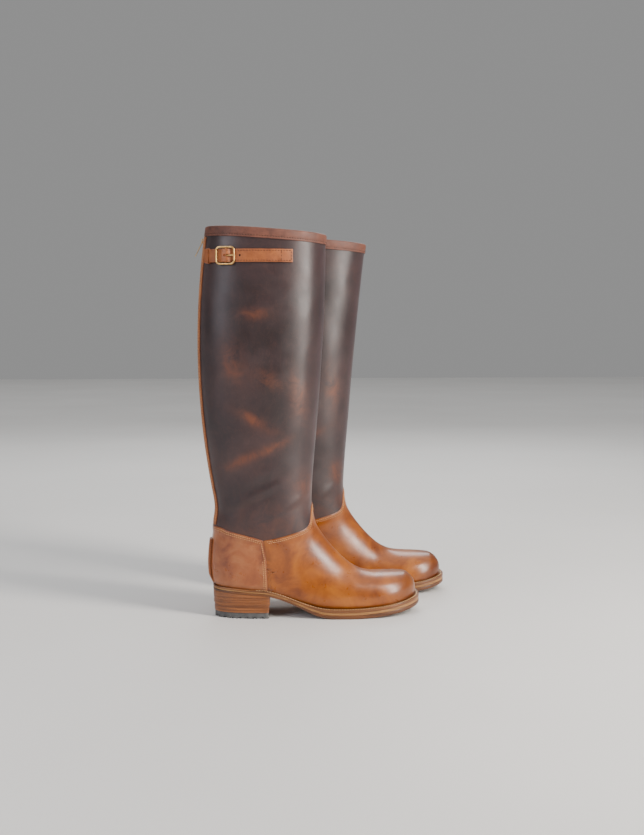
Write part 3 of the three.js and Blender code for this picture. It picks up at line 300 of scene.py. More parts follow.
COUNTER_TOP_LINE = smooth_line(COUNTER_TOP)
COUNTER_FRONT_LINE = smooth_line(COUNTER_FRONT)
VAMP_TOP_LINE = smooth_line(VAMP_TOP)


def over_line(line):
    """Height above a line that runs forward, as a function of a point."""
    order = np.argsort(line[:, 0])
    return lambda point: point[..., 2] - np.interp(point[..., 0], line[order, 0], line[order, 1])


def behind_line(line):
    """Distance behind a line that runs down, as a function of a point."""
    order = np.argsort(line[:, 1])
    return lambda point: np.interp(point[..., 2], line[order, 1], line[order, 0]) - point[..., 0]


def far_from(line, point):
    """Distance from a line, both seen from the side."""
    flat = point[..., [0, 2]].reshape(-1, 1, 2)
    start, along = line[:-1], np.diff(line, axis=0)
    share = np.clip(((flat - start) * along).sum(-1) / (along**2).sum(-1), 0, 1)
    nearest = start + along * share[..., None]
    return np.linalg.norm(flat - nearest, axis=-1).min(-1).reshape(point.shape[:-1])


def topline(x):
    slope = TOPLINE_DROP / (TOP_FRONT_X - back_arc(SHAFT_HEIGHT))
    return SHAFT_HEIGHT - slope * (x - back_arc(SHAFT_HEIGHT))


def crossing(value, low, high, turns=44):
    """Where a falling value meets zero, for arrays of low and high ends."""
    low, high = np.broadcast_arrays(np.asarray(low, float), np.asarray(high, float))
    low, high = low.copy(), high.copy()
    for _ in range(turns):
        middle = (low + high) / 2
        above = value(middle) > 0
        low = np.where(above, middle, low)
        high = np.where(above, high, middle)
    return (low + high) / 2


def feather_height(x):
    on_heel = SEAT - 0.075 * np.maximum(x, 0)
    spring = 11 * (np.maximum(x - BALL_END, 0) / (TOE_TIP_X - BALL_END)) ** 2
    return mix(on_heel, 12.5, ease(x, 70, BALL_START)) + spring


def sole_height(x, share):
    return feather_height(x) - share * mix(7.0, 12.5, ease(x, 105, BALL_START - 5))


def over_feather(point):
    return point[..., 2] - feather_height(point[..., 0]) - GAP


HEEL_START = float(crossing(lambda p: over_feather(bare_surface(p, PI, 0)), LEG_STATIONS, LEG_STATIONS + 7))
TOE_END = float(crossing(lambda p: over_feather(bare_surface(p, PI, 0)), LAST, LAST - 1))


def feather_angle(position, side):
    """How far round the upper reaches at each station before it meets the welt; side is -1 or 1."""
    shape = np.shape(position)
    position = np.atleast_1d(np.asarray(position, float))
    value = lambda turn: over_feather(bare_surface(position, side * turn, 0))
    turn = crossing(value, np.full(position.shape, PI / 2), np.full(position.shape, PI))
    whole = (position <= HEEL_START) | (position >= TOE_END)
    return np.where(whole, PI, turn).reshape(shape)


FINE_POSITIONS = np.linspace(0, LAST, 2101)
FEATHER_ANGLES = {side: feather_angle(FINE_POSITIONS, side) for side in (-1, 1)}


def turned(position, share):
    """Angle at a share of the way from the front (0) to the welt or the back (-1 outer, 1 inner)."""
    outer = np.interp(position, FINE_POSITIONS, FEATHER_ANGLES[-1])
    inner = np.interp(position, FINE_POSITIONS, FEATHER_ANGLES[1])
    return share * np.where(share < 0, outer, inner)


# ---- Meshes ---------------------------------------------------------------------------------------

JOINTS = {joint["name"]: joint for joint in frame["joints"]}


def place(points, side):
    """Boot millimetres to metres in the CAD's frame; the left boot is mirrored."""
    centre = JOINTS[f"{side}_zip"]["pos_m"]
    flip = 1 if side == "right" else -1
    points = np.asarray(points, float)
    moved = points * np.array([1, flip, 1]) + np.array([-(BACK_BULGE_X + BACK_RADIUS), 0, 0])
    return moved / 1000 + np.array([centre[0], centre[1], 0])


def add_mesh(name, side, points, faces, smooth=35):
    """A piece of one boot from points in its own frame; doubles are merged and faces turned outward."""
    mesh = bpy.data.meshes.new(f"{side}_{name}")
    mesh.from_pydata(place(points, side).tolist(), [], faces)
    piece = bpy.data.objects.new(f"{side}_{name}", mesh)
    bpy.context.scene.collection.objects.link(piece)
    work = bmesh.new()
    work.from_mesh(mesh)
    bmesh.ops.remove_doubles(work, verts=work.verts, dist=2e-6)
    bmesh.ops.dissolve_degenerate(work, edges=work.edges, dist=1e-7)
    bmesh.ops.recalc_face_normals(work, faces=work.faces)
    work.to_mesh(mesh)
    work.free()
    bpy.ops.object.select_all(action="DESELECT")
    bpy.context.view_layer.objects.active = piece
    piece.select_set(True)
    bpy.ops.object.shade_smooth_by_angle(angle=math.radians(smooth))
    return piece


def grid_faces(rows, columns, start=0, around=False):
    made = []
    for row in range(rows - 1):
        for column in range(columns if around else columns - 1):
            here, beside = row * columns + column, row * columns + (column + 1) % columns
            made.append((start + here, start + here + columns, start + beside + columns, start + beside))
    return made


def sheet_faces(rows, columns):
    """A closed sheet: an outer grid, an inner grid after it, and the rim that joins them."""
    count = rows * columns
    faces = grid_faces(rows, columns)
    faces += [tuple(reversed([corner + count for corner in face])) for face in grid_faces(rows, columns)]
    rim = list(range(columns))
    rim += [row * columns + columns - 1 for row in range(1, rows)]
    rim += [(rows - 1) * columns + column for column in range(columns - 2, -1, -1)]
    rim += [row * columns for row in range(rows - 2, 0, -1)]
    for index, here in enumerate(rim):
        beside = rim[(index + 1) % len(rim)]
        faces.append((here, beside, beside + count, here + count))
    return faces


def sheet(name, side, outer, inner):
    rows, columns = outer.shape[:2]
    points = np.vstack([outer.reshape(-1, 3), inner.reshape(-1, 3)])
    return add_mesh(name, side, points, sheet_faces(rows, columns))


def paint(piece, name, value):
    """Stores a number for each point, worked out from its place, for the piece's finish."""
    mesh = piece.data
    flat = np.zeros(len(mesh.vertices) * 3, np.float32)
    mesh.vertices.foreach_get("co", flat)
    numbers = value(flat.reshape(-1, 3).astype(float))
    mesh.attributes.new(name, "FLOAT", "POINT").data.foreach_set("value", numbers)


def along_columns(start, end, angle_of, distances, count, flare):
    """Positions down each column: first at the given distances in millimetres, then evenly to its end."""
    share = np.linspace(0, 1, 241)[:, None]
    position = start + (end - start) * share
    line = bare_surface(position, angle_of(position), flare)
    steps = np.linalg.norm(np.diff(line, axis=0), axis=2)
    run = np.vstack([np.zeros((1, line.shape[1])), np.cumsum(steps, 0)])
    made = []
    for column in range(line.shape[1]):
        length = run[-1, column]
        near = [min(distance, length * 0.02 * (index + 1)) for index, distance in enumerate(distances)]
        wanted = np.concatenate([near, np.linspace(near[-1], length, count + 1)[1:]])
        made.append(np.interp(wanted, run[:, column], position[:, column]))
    return np.array(made).T


EDGE = [0, 0.15, 0.4, 0.8, 1.5]


def rolled(distance, radius=0.75):
    """How far a cut edge has rounded down, by the distance from it."""
    share = np.clip(1 - distance / radius, 0, 1)
    return radius * (1 - np.sqrt(1 - share**2))


# ---- Leather panels ---------------------------------------------------------------------------------


def slot_angle(position, half, flare):
    """Angle of the back slot's edge at each station."""
    value = lambda turn: bare_surface(position, turn, flare)[..., 1] - half
    return crossing(value, np.full(np.shape(position), PI * 0.6), np.full(np.shape(position), PI))


def leg_sheet(name, side, outside, inside, half, top_drop, bottom, columns, count):
    """A sheet round the leg, open at the back, from below the topline to a lower line."""
    flare = FLARE[side]
    share = np.linspace(-1, 1, columns)
    edges = slot_angle(FINE_POSITIONS[:1200], half, flare)
    angle_of = lambda position: share * np.interp(position, FINE_POSITIONS[:1200], edges)
    at = lambda position: bare_surface(position, angle_of(position), flare)
    above_top = lambda position: at(position)[..., 2] - topline(at(position)[..., 0]) + top_drop
    start = crossing(above_top, np.zeros(columns), np.full(columns, 5.0))
    end = crossing(lambda position: bottom(at(position)), np.full(columns, 5.0), np.full(columns, 12.5))
    position = along_columns(start, end, angle_of, EDGE, count, flare)
    angle = angle_of(position)
    outer = surface(position, angle, flare, outside)
    return sheet(name, side, outer, surface(position, angle, flare, inside))


def shaft(side):
    over_counter = over_line(moved_line(COUNTER_TOP_LINE, -3.2))
    over_vamp = over_line(VAMP_TOP_LINE + np.array([2.6, -2.6]))

    def bottom(point):
        return np.where(point[..., 0] < CORNER[0], over_counter(point), over_vamp(point))

    return leg_sheet("shaft_leather", side, 0, -LEATHER, SLOT_HALF, GAP, bottom, 150, 150)


def shaft_lining(side):
    bottom = lambda point: point[..., 2] - 112.3
    drop = GAP + 0.4
    return leg_sheet("leg_lining", side, LINING_OUTSIDE, LINING_INSIDE, 12.3, drop, bottom, 90, 60)


def corner_share(sign):
    """Share round the boot where counter, vamp and shaft meet."""
    over = over_line(COUNTER_TOP_LINE)

    def ahead(share):
        at = lambda position: bare_surface(position, turned(position, share), 0)
        position = crossing(lambda p: over(at(p)), 7.0, 14.0)
        return at(position)[..., 0] - CORNER[0]

    return float(sign * crossing(lambda share: ahead(sign * share), 0.2, 0.9, 40))


def lap(point):
    """How far the vamp's upper edge stands up where it laps over the shaft."""
    thick = mix(0.25, 0.95, ease(point[..., 0], 70, 86))
    return thick * (1 - ease(far_from(VAMP_TOP_LINE, point), 2.5, 13))


def vamp(side):
    flare = FLARE[side]
    corner = abs(corner_share(-1))
    near = np.array([0, 0.004, 0.01, 0.02])
    half = np.concatenate([np.linspace(0, corner, 46)[:-1], np.linspace(corner, 1 - near[-1], 36)[:-1]])
    half = np.concatenate([half, 1 - near[::-1]])
    share = np.concatenate([-half[::-1], half[1:]])
    angle_of = lambda position: turned(position, share)
    at = lambda position: bare_surface(position, angle_of(position), flare)
    below_top, behind = over_line(VAMP_TOP_LINE), behind_line(VAMP_BACK)
    start_top = crossing(lambda p: below_top(at(p)), np.full(share.shape, 6.5), np.full(share.shape, 14.0))
    start_back = crossing(lambda p: behind(at(p)), np.full(share.shape, 9.0), np.full(share.shape, 18.0))
    start = np.where(np.abs(share) < corner, start_top, np.maximum(start_top, start_back))
    middle = 17.0
    upper = along_columns(start, np.full(share.shape, middle), angle_of, EDGE, 74, flare)
    near_toe = TOE_END - 0.2
    toe = np.concatenate([np.linspace(middle, near_toe, 26)[1:], np.linspace(near_toe, TOE_END, 12)[1:]])
    cap = TOE_END + (LAST - 0.0004 - TOE_END) * np.sin(np.linspace(0, PI / 2, 14))[1:]
    lower = np.concatenate([toe, cap])[:, None] + np.zeros(share.shape)
    position = np.vstack([upper, lower])
    angle = angle_of(position)
    bare = bare_surface(position, angle, flare)
    edge = far_from(VAMP_TOP_LINE, bare)
    outside = lap(bare) - rolled(edge) - 0.6 * ease(behind_line(COUNTER_FRONT_LINE)(bare), 1, 3)
    inside = mix(0.05, -LEATHER, ease(edge, 3.4, 9))
    inside = np.where((far_from(COUNTER_FRONT_LINE, bare) < 6) & (edge > 3.4), -1.6, inside)
    outer = surface(position, angle, flare, outside)
    inner = surface(position, angle, flare, np.minimum(inside, outside - 0.3))
    return sheet("vamp_leather", side, outer, inner)


def from_counter_edge(point):
    return np.minimum(far_from(COUNTER_TOP_LINE, point), far_from(COUNTER_FRONT_LINE, point))


def counter_lap(point):
    """How far the counter's edge stands up over the shaft and the vamp."""
    return 1.25 * (1 - ease(from_counter_edge(point), 3, 12))


def counter(side):
    flare = FLARE[side]
    corner = abs(corner_share(-1))
    near = np.array([0, 0.004, 0.01])
    half = np.concatenate([corner + (1 - corner) * np.linspace(0.001, 0.97, 60) ** 1.3, 1 - near[::-1]])
    angle_of = lambda position: turned(position, -half)
    at = lambda position: bare_surface(position, angle_of(position), flare)
    below_top, behind = over_line(COUNTER_TOP_LINE), behind_line(COUNTER_FRONT_LINE)
    start = crossing(lambda p: below_top(at(p)), np.full(half.shape, 7.0), np.full(half.shape, 14.0))
    end = crossing(lambda p: behind(at(p)), np.full(half.shape, 9.0), np.full(half.shape, 17.0))
    end = np.maximum(end, start + 0.01)
    whole = np.concatenate([EDGE, np.linspace(1.5, 100, 70)[1:]]) / 100
    spread = np.concatenate([whole / 2, 1 - whole[::-1][1:] / 2])
    one = start + (end - start) * spread[:, None]
    position = np.hstack([one, one[:, ::-1]])
    share = np.concatenate([-half, half[::-1]])
    angle = turned(position, share)
    bare = bare_surface(position, angle, flare)
    edge = from_counter_edge(bare)
    outside = counter_lap(bare) - rolled(edge)
    inside = np.where(edge < 3.6, 0.2, mix(0.2, -LEATHER, ease(edge, 3.6, 9)))
    outer = surface(position, angle, flare, outside)
    inner = surface(position, angle, flare, np.minimum(inside, outside - 0.3))
    return sheet("counter_leather", side, outer, inner)


def foot_lining(side):
    flare = FLARE[side]
    share = np.linspace(-1, 1, 90)
    at = lambda position: bare_surface(position, turned(position, share), flare)
    start = crossing(lambda p: at(p)[..., 2] - 112, np.full(share.shape, 7.0), np.full(share.shape, 13.0))
    upper = start + (17 - start) * np.linspace(0, 1, 46)[:, None]
    lower = np.linspace(17, LAST - 0.3, 22)[1:, None] + np.zeros(share.shape)
    position = np.vstack([upper, lower])
    angle = turned(position, share)
    outer, inner = surface(position, angle, flare, -3.8), surface(position, angle, flare, -4.8)
    return sheet("foot_lining_leather", side, outer, inner)


def binding(side):
    """Leather folded over the top edge, inside and outside."""
    flare = FLARE[side]
    columns = 150
    share = np.linspace(-1, 1, columns)
    edges = slot_angle(FINE_POSITIONS[:400], SLOT_HALF, flare)
    out, inn = GAP + TRIM, LINING_INSIDE - GAP - TRIM
    middle, reach = (out + inn) / 2, (out - inn) / 2
    turn = np.linspace(0, PI, 15)
    profile = [(out - 0.5, -BINDING), (out - 0.12, -BINDING + 0.15), (out, -BINDING + 0.55)]
    profile += [(out, -BINDING + 2.2), (out - 0.22, -BINDING + BINDING_ROW)]
    profile += [(out, -BINDING + 3.7), (out + 0.1, -6.5)]
    profile += [(middle + reach * math.cos(a), 2.6 * math.sin(a) - 1.4) for a in turn]
    profile += [(inn, -6), (inn, -BINDING), (inn + TRIM, -BINDING), (inn + TRIM, -1.2)]
    profile += [(0.35, -1.2), (0.35, -BINDING)]
    fine = np.linspace(0, 1.2, 400)
    angle = share * np.interp(fine[:, None] + 0 * share, FINE_POSITIONS[:400], edges)
    bare = bare_surface(fine[:, None] + 0 * share, angle, flare)
    height = bare[..., 2] - topline(bare[..., 0])
    points = []
    for offset, rise in profile:
        position = np.array([np.interp(-rise, -height[:, c], fine) for c in range(columns)])
        turn_at = share * np.interp(position, FINE_POSITIONS[:400], edges)
        points.append(surface(position, turn_at, flare, offset))
    points = np.array(points).transpose(1, 0, 2)
    count = len(profile)
    faces = grid_faces(columns, count, around=True)
    faces += [tuple(range(count)), tuple(range((columns - 1) * count, columns * count))]
    return add_mesh("top_binding_leather", side, points.reshape(-1, 3), faces)


def at_back(y, z, flare):
    """Position and angle of the point behind the leg at a given y and height."""
    y, z = np.broadcast_arrays(np.asarray(y, float), np.asarray(z, float))
    angle = np.full(z.shape, PI)
    for _ in range(4):
        value = lambda p: bare_surface(p, angle, flare)[..., 2] - z
        position = crossing(value, np.zeros(z.shape), np.full(z.shape, 13.0), 30)
        half = lambda turn: bare_surface(position, turn, flare)[..., 1] - np.abs(y)
        turn = crossing(half, np.full(z.shape, PI * 0.6), np.full(z.shape, PI), 30)
        angle = np.where(y < 0, -turn, turn)
    return position, angle


def back_strip(name, side, widths, heights, outside, inside):
    """A long narrow sheet behind the leg between two values of y."""
    flare = FLARE[side]
    y, z = np.meshgrid(widths, heights)
    position, angle = at_back(y, z, flare)
    outside = np.broadcast_to(outside, y.shape)
    inside = np.broadcast_to(inside, y.shape)
    outer = surface(position, angle, flare, outside)
    return sheet(name, side, outer, surface(position, angle, flare, inside))


def zip_facing(side, which, sign):
    inner, outer = SLOT_HALF + GAP, FACING_HALF
    across = np.array([0, 0.12, 0.35, 0.8, 2, 4, 6, 8, 8.9, 9.35, 9.58, 9.7]) + inner
    edge = np.minimum(across - inner, outer - across)
    groove = 0.18 * np.exp(-((edge - FACING_ROW) / 0.5) ** 2)
    outside = GAP + TRIM - rolled(edge, 0.6) - groove
    heights = np.linspace(SHAFT_HEIGHT - BINDING - 1.0, TAPE_BOTTOM, 150)
    return back_strip(f"zip_facing_{which}_leather", side, sign * across, heights, outside, GAP - 0.2)


def spur_thickness(height):
    return mix(1.2, 3.0, ease(height, 48, 60))


def spur_rest(side):
    """Narrow thick strip down the back of the heel, held by the seam on each side."""
    across = np.array([-8, -7.85, -7.5, -6.8, -5, -2.5, 0, 2.5, 5, 6.8, 7.5, 7.85, 8])
    near_top = [SPUR_TOP, SPUR_TOP - 0.2, SPUR_TOP - 0.6, SPUR_TOP - 1.5]
    near_bottom = [49, 47, SPUR_BOTTOM + 0.4, SPUR_BOTTOM + 0.1, SPUR_BOTTOM]
    heights = np.concatenate([near_top, np.linspace(101, 52, 26), near_bottom])
    y, z = np.meshgrid(across, heights)
    round_ends = rolled(SPUR_TOP - z, 0.8) + rolled(z - SPUR_BOTTOM, 0.8)
    outside = GAP + spur_thickness(z) - rolled(8 - np.abs(y), 0.9) - round_ends
    flare = FLARE[side]
    position, angle = at_back(y, z, flare)
    outer = surface(position, angle, flare, np.maximum(outside, 0.7))
    return sheet("spur_rest_leather", side, outer, surface(position, angle, flare, 0.6 + 0 * y))


# ---- Zip ----------------------------------------------------------------------------------------------


def zip_tape(side, which, sign):
    across = sign * np.array([0.8, 2, 3.5, 5, 7, 9, 11, 12])
    heights = np.linspace(SHAFT_HEIGHT - 4, TAPE_BOTTOM, 120)
    name = f"zip_tape_{which}_fabric"
    return back_strip(name, side, across, heights, LINING_OUTSIDE, LINING_OUTSIDE - 0.8)


def boxes(places, sizes, frames):
    """Many small blocks with chamfered ends in one list of points and faces: centre, half sizes, axes."""
    corner = np.array([
        (-1, -0.7, -0.7), (-1, 0.7, -0.7), (-1, 0.7, 0.7), (-1, -0.7, 0.7),
        (-0.7, -1, -0.7), (-0.7, 1, -0.7), (-0.7, 1, 0.7), (-0.7, -1, 0.7),
        (0.7, -1, -0.7), (0.7, 1, -0.7), (0.7, 1, 0.7), (0.7, -1, 0.7),
        (1, -0.7, -0.7), (1, 0.7, -0.7), (1, 0.7, 0.7), (1, -0.7, 0.7),
    ])  # fmt: skip
    faces = [(0, 1, 2, 3), (12, 15, 14, 13)]
    for ring in range(3):
        for side in range(4):
            here, beside = ring * 4 + side, ring * 4 + (side + 1) % 4
            faces.append((here, here + 4, beside + 4, beside))
    local = corner[None] * np.asarray(sizes)[:, None, :]
    points = np.asarray(places)[:, None, :] + np.einsum("nki,nij->nkj", local, np.asarray(frames))
    every = [tuple(index + 16 * piece for index in face) for piece in range(len(places)) for face in faces]
    return points.reshape(-1, 3), every


def zip_teeth(side, which, sign):
    """The row of metal teeth on one tape; the two rows alternate and meet on the centre line."""
    flare = FLARE[side]
    pitch = 3.0
    heights = np.arange(ZIP_BOTTOM + 1 + (pitch / 2 if sign > 0 else 0), SHAFT_HEIGHT - 5, pitch)
    opening = 2.4 * ease(heights, SLIDER_HEIGHT + 4, SHAFT_HEIGHT - 5)
    y = sign * (1.1 + opening)
    position, angle = at_back(y, heights, flare)
    centre = surface(position, angle, flare, -1.9)
    normal = surface_normal(position, np.full(position.shape, PI), flare)
    across = np.tile([0.0, 1.0, 0.0], (len(heights), 1))
    up = np.cross(normal, across)
    frames = np.stack([across, up, normal], 1)
    sizes = np.tile([2.1, 0.95, 0.85], (len(heights), 1))
    points, faces = boxes(centre, sizes, frames)
    return add_mesh(f"zip_teeth_{which}_metal", side, points, faces, 30)


def join(name, side, pieces):
    bpy.ops.object.select_all(action="DESELECT")
    for piece in pieces:
        piece.select_set(True)
    bpy.context.view_layer.objects.active = pieces[0]
    if len(pieces) > 1:
        bpy.ops.object.join()
    pieces[0].name = pieces[0].data.name = f"{side}_{name}"
    return pieces[0]


def rounded_block(name, low, high, radius, shape=None, segments=3):
    """A block between two corners with rounded edges, in the tool frame it is modelled in."""
    low, high = Vector(low), Vector(high)
    bpy.ops.object.select_all(action="DESELECT")
    bpy.ops.mesh.primitive_cube_add(size=1)
    piece = bpy.context.object
    piece.name = name
    for corner in piece.data.vertices:
        corner.co = Vector(low[i] + (high[i] - low[i]) * (corner.co[i] + 0.5) for i in range(3))
        if shape:
            corner.co = shape(corner.co)
    bevel = piece.modifiers.new("edges", "BEVEL")
    bevel.width = radius
    bevel.segments = segments
    bpy.ops.object.modifier_apply(modifier="edges")
    return piece


def set_down(piece, side, matrix, smooth=40):
    """Takes a piece modelled in millimetres in its own frame to its place on a boot."""
    points = np.array([matrix @ corner.co for corner in piece.data.vertices])
    moved = place(points, side)
    for corner, point in zip(piece.data.vertices, moved):
        corner.co = point
    if side == "left":
        piece.data.flip_normals()
    bpy.ops.object.select_all(action="DESELECT")
    bpy.context.view_layer.objects.active = piece
    piece.select_set(True)
    bpy.ops.object.shade_smooth_by_angle(angle=math.radians(smooth))
    return piece


PULL_TILT = math.radians(27)


def slider_matrix():
    turn = math.asin((SLIDER_HEIGHT - BACK_BULGE_HEIGHT) / BACK_RADIUS)
    return Matrix.Translation((back_arc(SLIDER_HEIGHT), 0, SLIDER_HEIGHT)) @ Matrix.Rotation(turn, 4, "Y")


def zip_slider(side):
    """Cast body with a flared top, its post between the teeth and the bridge that holds the pull."""

    def flared(corner):
        return Vector((corner.x, corner.y * mix(0.74, 1, ease(corner.z, -6, 1)), corner.z))

    outer = rounded_block("slider", (-1.25, -4.6, -6.5), (0.15, 4.6, 6.5), 0.45, flared)
    inner = rounded_block("slider_inner", (3.9, -4.4, -4.5), (4.9, 4.4, 6.5), 0.35)
    post = rounded_block("slider_post", (-1, -0.5, 1.6), (4.8, 0.5, 6), 0.12, segments=2)
    bridge = rounded_block("slider_bridge", (-3.85, -0.85, -2.9), (-2.95, 0.85, 2.9), 0.28)
    feet = [rounded_block(f"slider_foot_{end}", (-3.7, -0.8, low), (-0.6, 0.8, low + 0.95), 0.2)
            for end, low in (("low", -2.9), ("high", 1.95))]  # fmt: skip
    body = join("zip_slider_brass", side, [outer, inner, post, bridge, *feet])
    return set_down(body, side, slider_matrix())


def zip_pull(side):
    """Thin tab with an eye that hangs from the slider's bridge."""
    half, thick = 3.0, 0.45
    steps = [(-5.0, 3.0), (-6.2, 3.0), (-9, 2.7), (-14, 2.55)]
    steps += [(-18, 2.85), (-20.5, 2.8), (-22, 2.1), (-22.8, 1.1)]
    outline = [(-w, z) for z, w in steps] + [(0, -23.0)] + [(w, z) for z, w in reversed(steps)]
    work = bmesh.new()
    front = [work.verts.new((-thick, y, z)) for y, z in outline]
    back = [work.verts.new((thick, y, z)) for y, z in outline]
    work.faces.new(front)
    work.faces.new(list(reversed(back)))
    for index in range(len(outline)):
        beside = (index + 1) % len(outline)
        work.faces.new((front[index], back[index], back[beside], front[beside]))
    bmesh.ops.recalc_face_normals(work, faces=work.faces)
    mesh = bpy.data.meshes.new("pull_tab")
    work.to_mesh(mesh)
    work.free()
    tab = bpy.data.objects.new("pull_tab", mesh)
    bpy.context.scene.collection.objects.link(tab)
    bpy.ops.object.select_all(action="DESELECT")
    bpy.context.view_layer.objects.active = tab
    tab.select_set(True)
    bevel = tab.modifiers.new("edges", "BEVEL")
    bevel.width, bevel.segments, bevel.angle_limit = 0.22, 2, math.radians(50)
    bpy.ops.object.modifier_apply(modifier="edges")
    sides = [rounded_block(f"pull_arm_{name}", (-thick, low, -5.6), (thick, low + 1.6, 0.5), 0.3)
             for name, low in (("outer", -half), ("inner", half - 1.6))]  # fmt: skip
    bar = rounded_block("pull_bar", (-0.55, -half, -0.55), (0.55, half, 0.55), 0.35)
    pull = join("zip_pull_brass", side, [tab, *sides, bar])
    hang = slider_matrix() @ Vector((-2.0, 0, 0))
    return set_down(pull, side, Matrix.Translation(hang) @ Matrix.Rotation(PULL_TILT, 4, "Y"))


# ---- Strap and buckle ---------------------------------------------------------------------------------


BUCKLE_LENGTH, BUCKLE_WIDTH, BUCKLE_RISE, BUCKLE_ROD, BUCKLE_CORNER = 26.5, 24.0, 4.6, 1.2, 4.6
BUCKLE_TILT = math.tan(math.radians(5.4))
BAR_RISE, BAR_RADIUS, CHAPE_LEATHER = 2.6, 0.9, 1
CHAPE_TOP = BAR_RISE + BAR_RADIUS + GAP + CHAPE_LEATHER


def wall_line(side):
    """The leg's outer side at the strap's height and the distances along it from the buckle's centre."""
    flare = FLARE[side]
    row = float(crossing(lambda p: bare_surface(p, 0, flare)[..., 2] - STRAP_HEIGHT, 0, LEG_STATIONS))
    angle = np.linspace(PI, 0, 400)[1:-1]
    points = bare_surface(row, -angle, flare)[:, :2]
    run = np.concatenate([[0], np.cumsum(np.linalg.norm(np.diff(points, axis=0), axis=1))])
    centre = np.interp(BUCKLE_X, points[:, 0], run)
    return points, run - centre


def wall_at(wall, along, rise):
    """Point in plan at a distance along the wall and a rise off it."""
    points, run = wall
    along = np.asarray(along, float)
    foot = np.stack([np.interp(along, run, points[:, axis]) for axis in (0, 1)], -1)
    ahead = np.stack([np.interp(along + 1, run, points[:, axis]) for axis in (0, 1)], -1)
    behind = np.stack([np.interp(along - 1, run, points[:, axis]) for axis in (0, 1)], -1)
    tangent = (ahead - behind) / np.linalg.norm(ahead - behind, axis=-1, keepdims=True)
    return foot + np.stack([tangent[..., 1], -tangent[..., 0]], -1) * np.asarray(rise)[..., None]


def strap_rise(along):
    """How far the strap's underside is off the leg: high over the bar, on the chape behind it."""
    over_bar = CHAPE_TOP + GAP
    behind = mix(over_bar, 3.1, ease(-along, 2.5, 9))
    ahead = mix(over_bar, 0.9, ease(along, 2, 9.5))
    return np.where(along < 0, behind, ahead)


def wall_sheet(name, side, along, across, rise, thickness, smooth=35):
    """A strip laid along the wall: rows along it, columns across its width."""
    wall = wall_line(side)
    run, width = np.meshgrid(along, across, indexing="ij")
    outer = wall_at(wall, run, rise + thickness)
    inner = wall_at(wall, run, rise)
    height = STRAP_HEIGHT + width
    outer = np.concatenate([outer, height[..., None]], -1)
    inner = np.concatenate([inner, height[..., None]], -1)
    rows, columns = run.shape
    points = np.vstack([outer.reshape(-1, 3), inner.reshape(-1, 3)])
    return add_mesh(name, side, points, sheet_faces(rows, columns), smooth)


def cut_away(piece, cutters):
    """Cuts holes with closed shapes, which are then removed."""
    for cutter in cutters:
        cut = piece.modifiers.new("hole", "BOOLEAN")
        cut.object, cut.operation, cut.solver = cutter, "DIFFERENCE", "EXACT"
        bpy.ops.object.select_all(action="DESELECT")
        bpy.context.view_layer.objects.active = piece
        piece.select_set(True)
        bpy.ops.object.modifier_apply(modifier="hole")
        bpy.data.objects.remove(cutter)
    bpy.ops.object.shade_smooth_by_angle(angle=math.radians(35))


def punch(side, along, radius, stretch=0.0):
    """A round or slotted punch that points out of the leg at a place along the strap."""
    wall = wall_line(side)
    low = np.append(wall_at(wall, along, 0.2), STRAP_HEIGHT)
    high = np.append(wall_at(wall, along, 11.0), STRAP_HEIGHT)
    axis = (high - low) / np.linalg.norm(high - low)
    forward = np.cross(axis, [0, 0, 1.0])
    turn = np.linspace(0, 2 * PI, 25)[:-1]
    ring = np.cos(turn)[:, None] * radius * forward + np.sin(turn)[:, None] * radius * np.array([0, 0, 1.0])
    ring += np.sign(np.cos(turn))[:, None] * stretch * forward
    points = np.vstack([low + ring, high + ring])
    count = len(turn)
    faces = [tuple(range(count)), tuple(range(count, 2 * count))]
    faces += [(i, (i + 1) % count, count + (i + 1) % count, count + i) for i in range(count)]
    return add_mesh("punch", side, points, faces)


STRAP_FRONT_END, STRAP_TIP_END = 87.0, -33.0
STRAP_HOLES = (18.5,)
STRAP_ROW = 2.1


def strap(side):
    """Billet with a square sewn end in front, a blunt tip behind the buckle, and rolled edges."""
    close = np.array([0, 0.15, 0.4, 0.9])
    run = [STRAP_TIP_END + close, np.arange(-31, 12, 1.0)]
    run += [np.arange(12, STRAP_FRONT_END - 1, 2.0), STRAP_FRONT_END - close[::-1]]
    along = np.concatenate(run)
    across = np.concatenate([[-8.5, -8.38, -8.1, -7.6], np.linspace(-6.9, 6.9, 13), [7.6, 8.1, 8.38, 8.5]])
    run, width = np.meshgrid(along, across, indexing="ij")
    edge = np.minimum.reduce([STRAP_HALF - np.abs(width), run - STRAP_TIP_END, STRAP_FRONT_END - run])
    stitched = 0.22 * np.exp(-(((STRAP_HALF - np.abs(width)) - STRAP_ROW) / 0.45) ** 2) * (run > -3)
    uneven = 0.12 * np.sin(run * 0.33) * np.sin(width * 0.4 + run * 0.09)
    thickness = 1.8 - rolled(edge, 0.7) - stitched + uneven
    piece = wall_sheet("strap_leather", side, along, across, strap_rise(run), thickness)
    cut_away(piece, [punch(side, hole, 1.5) for hole in STRAP_HOLES] + [punch(side, 3.2, 1.6, 3.8)])
    return piece


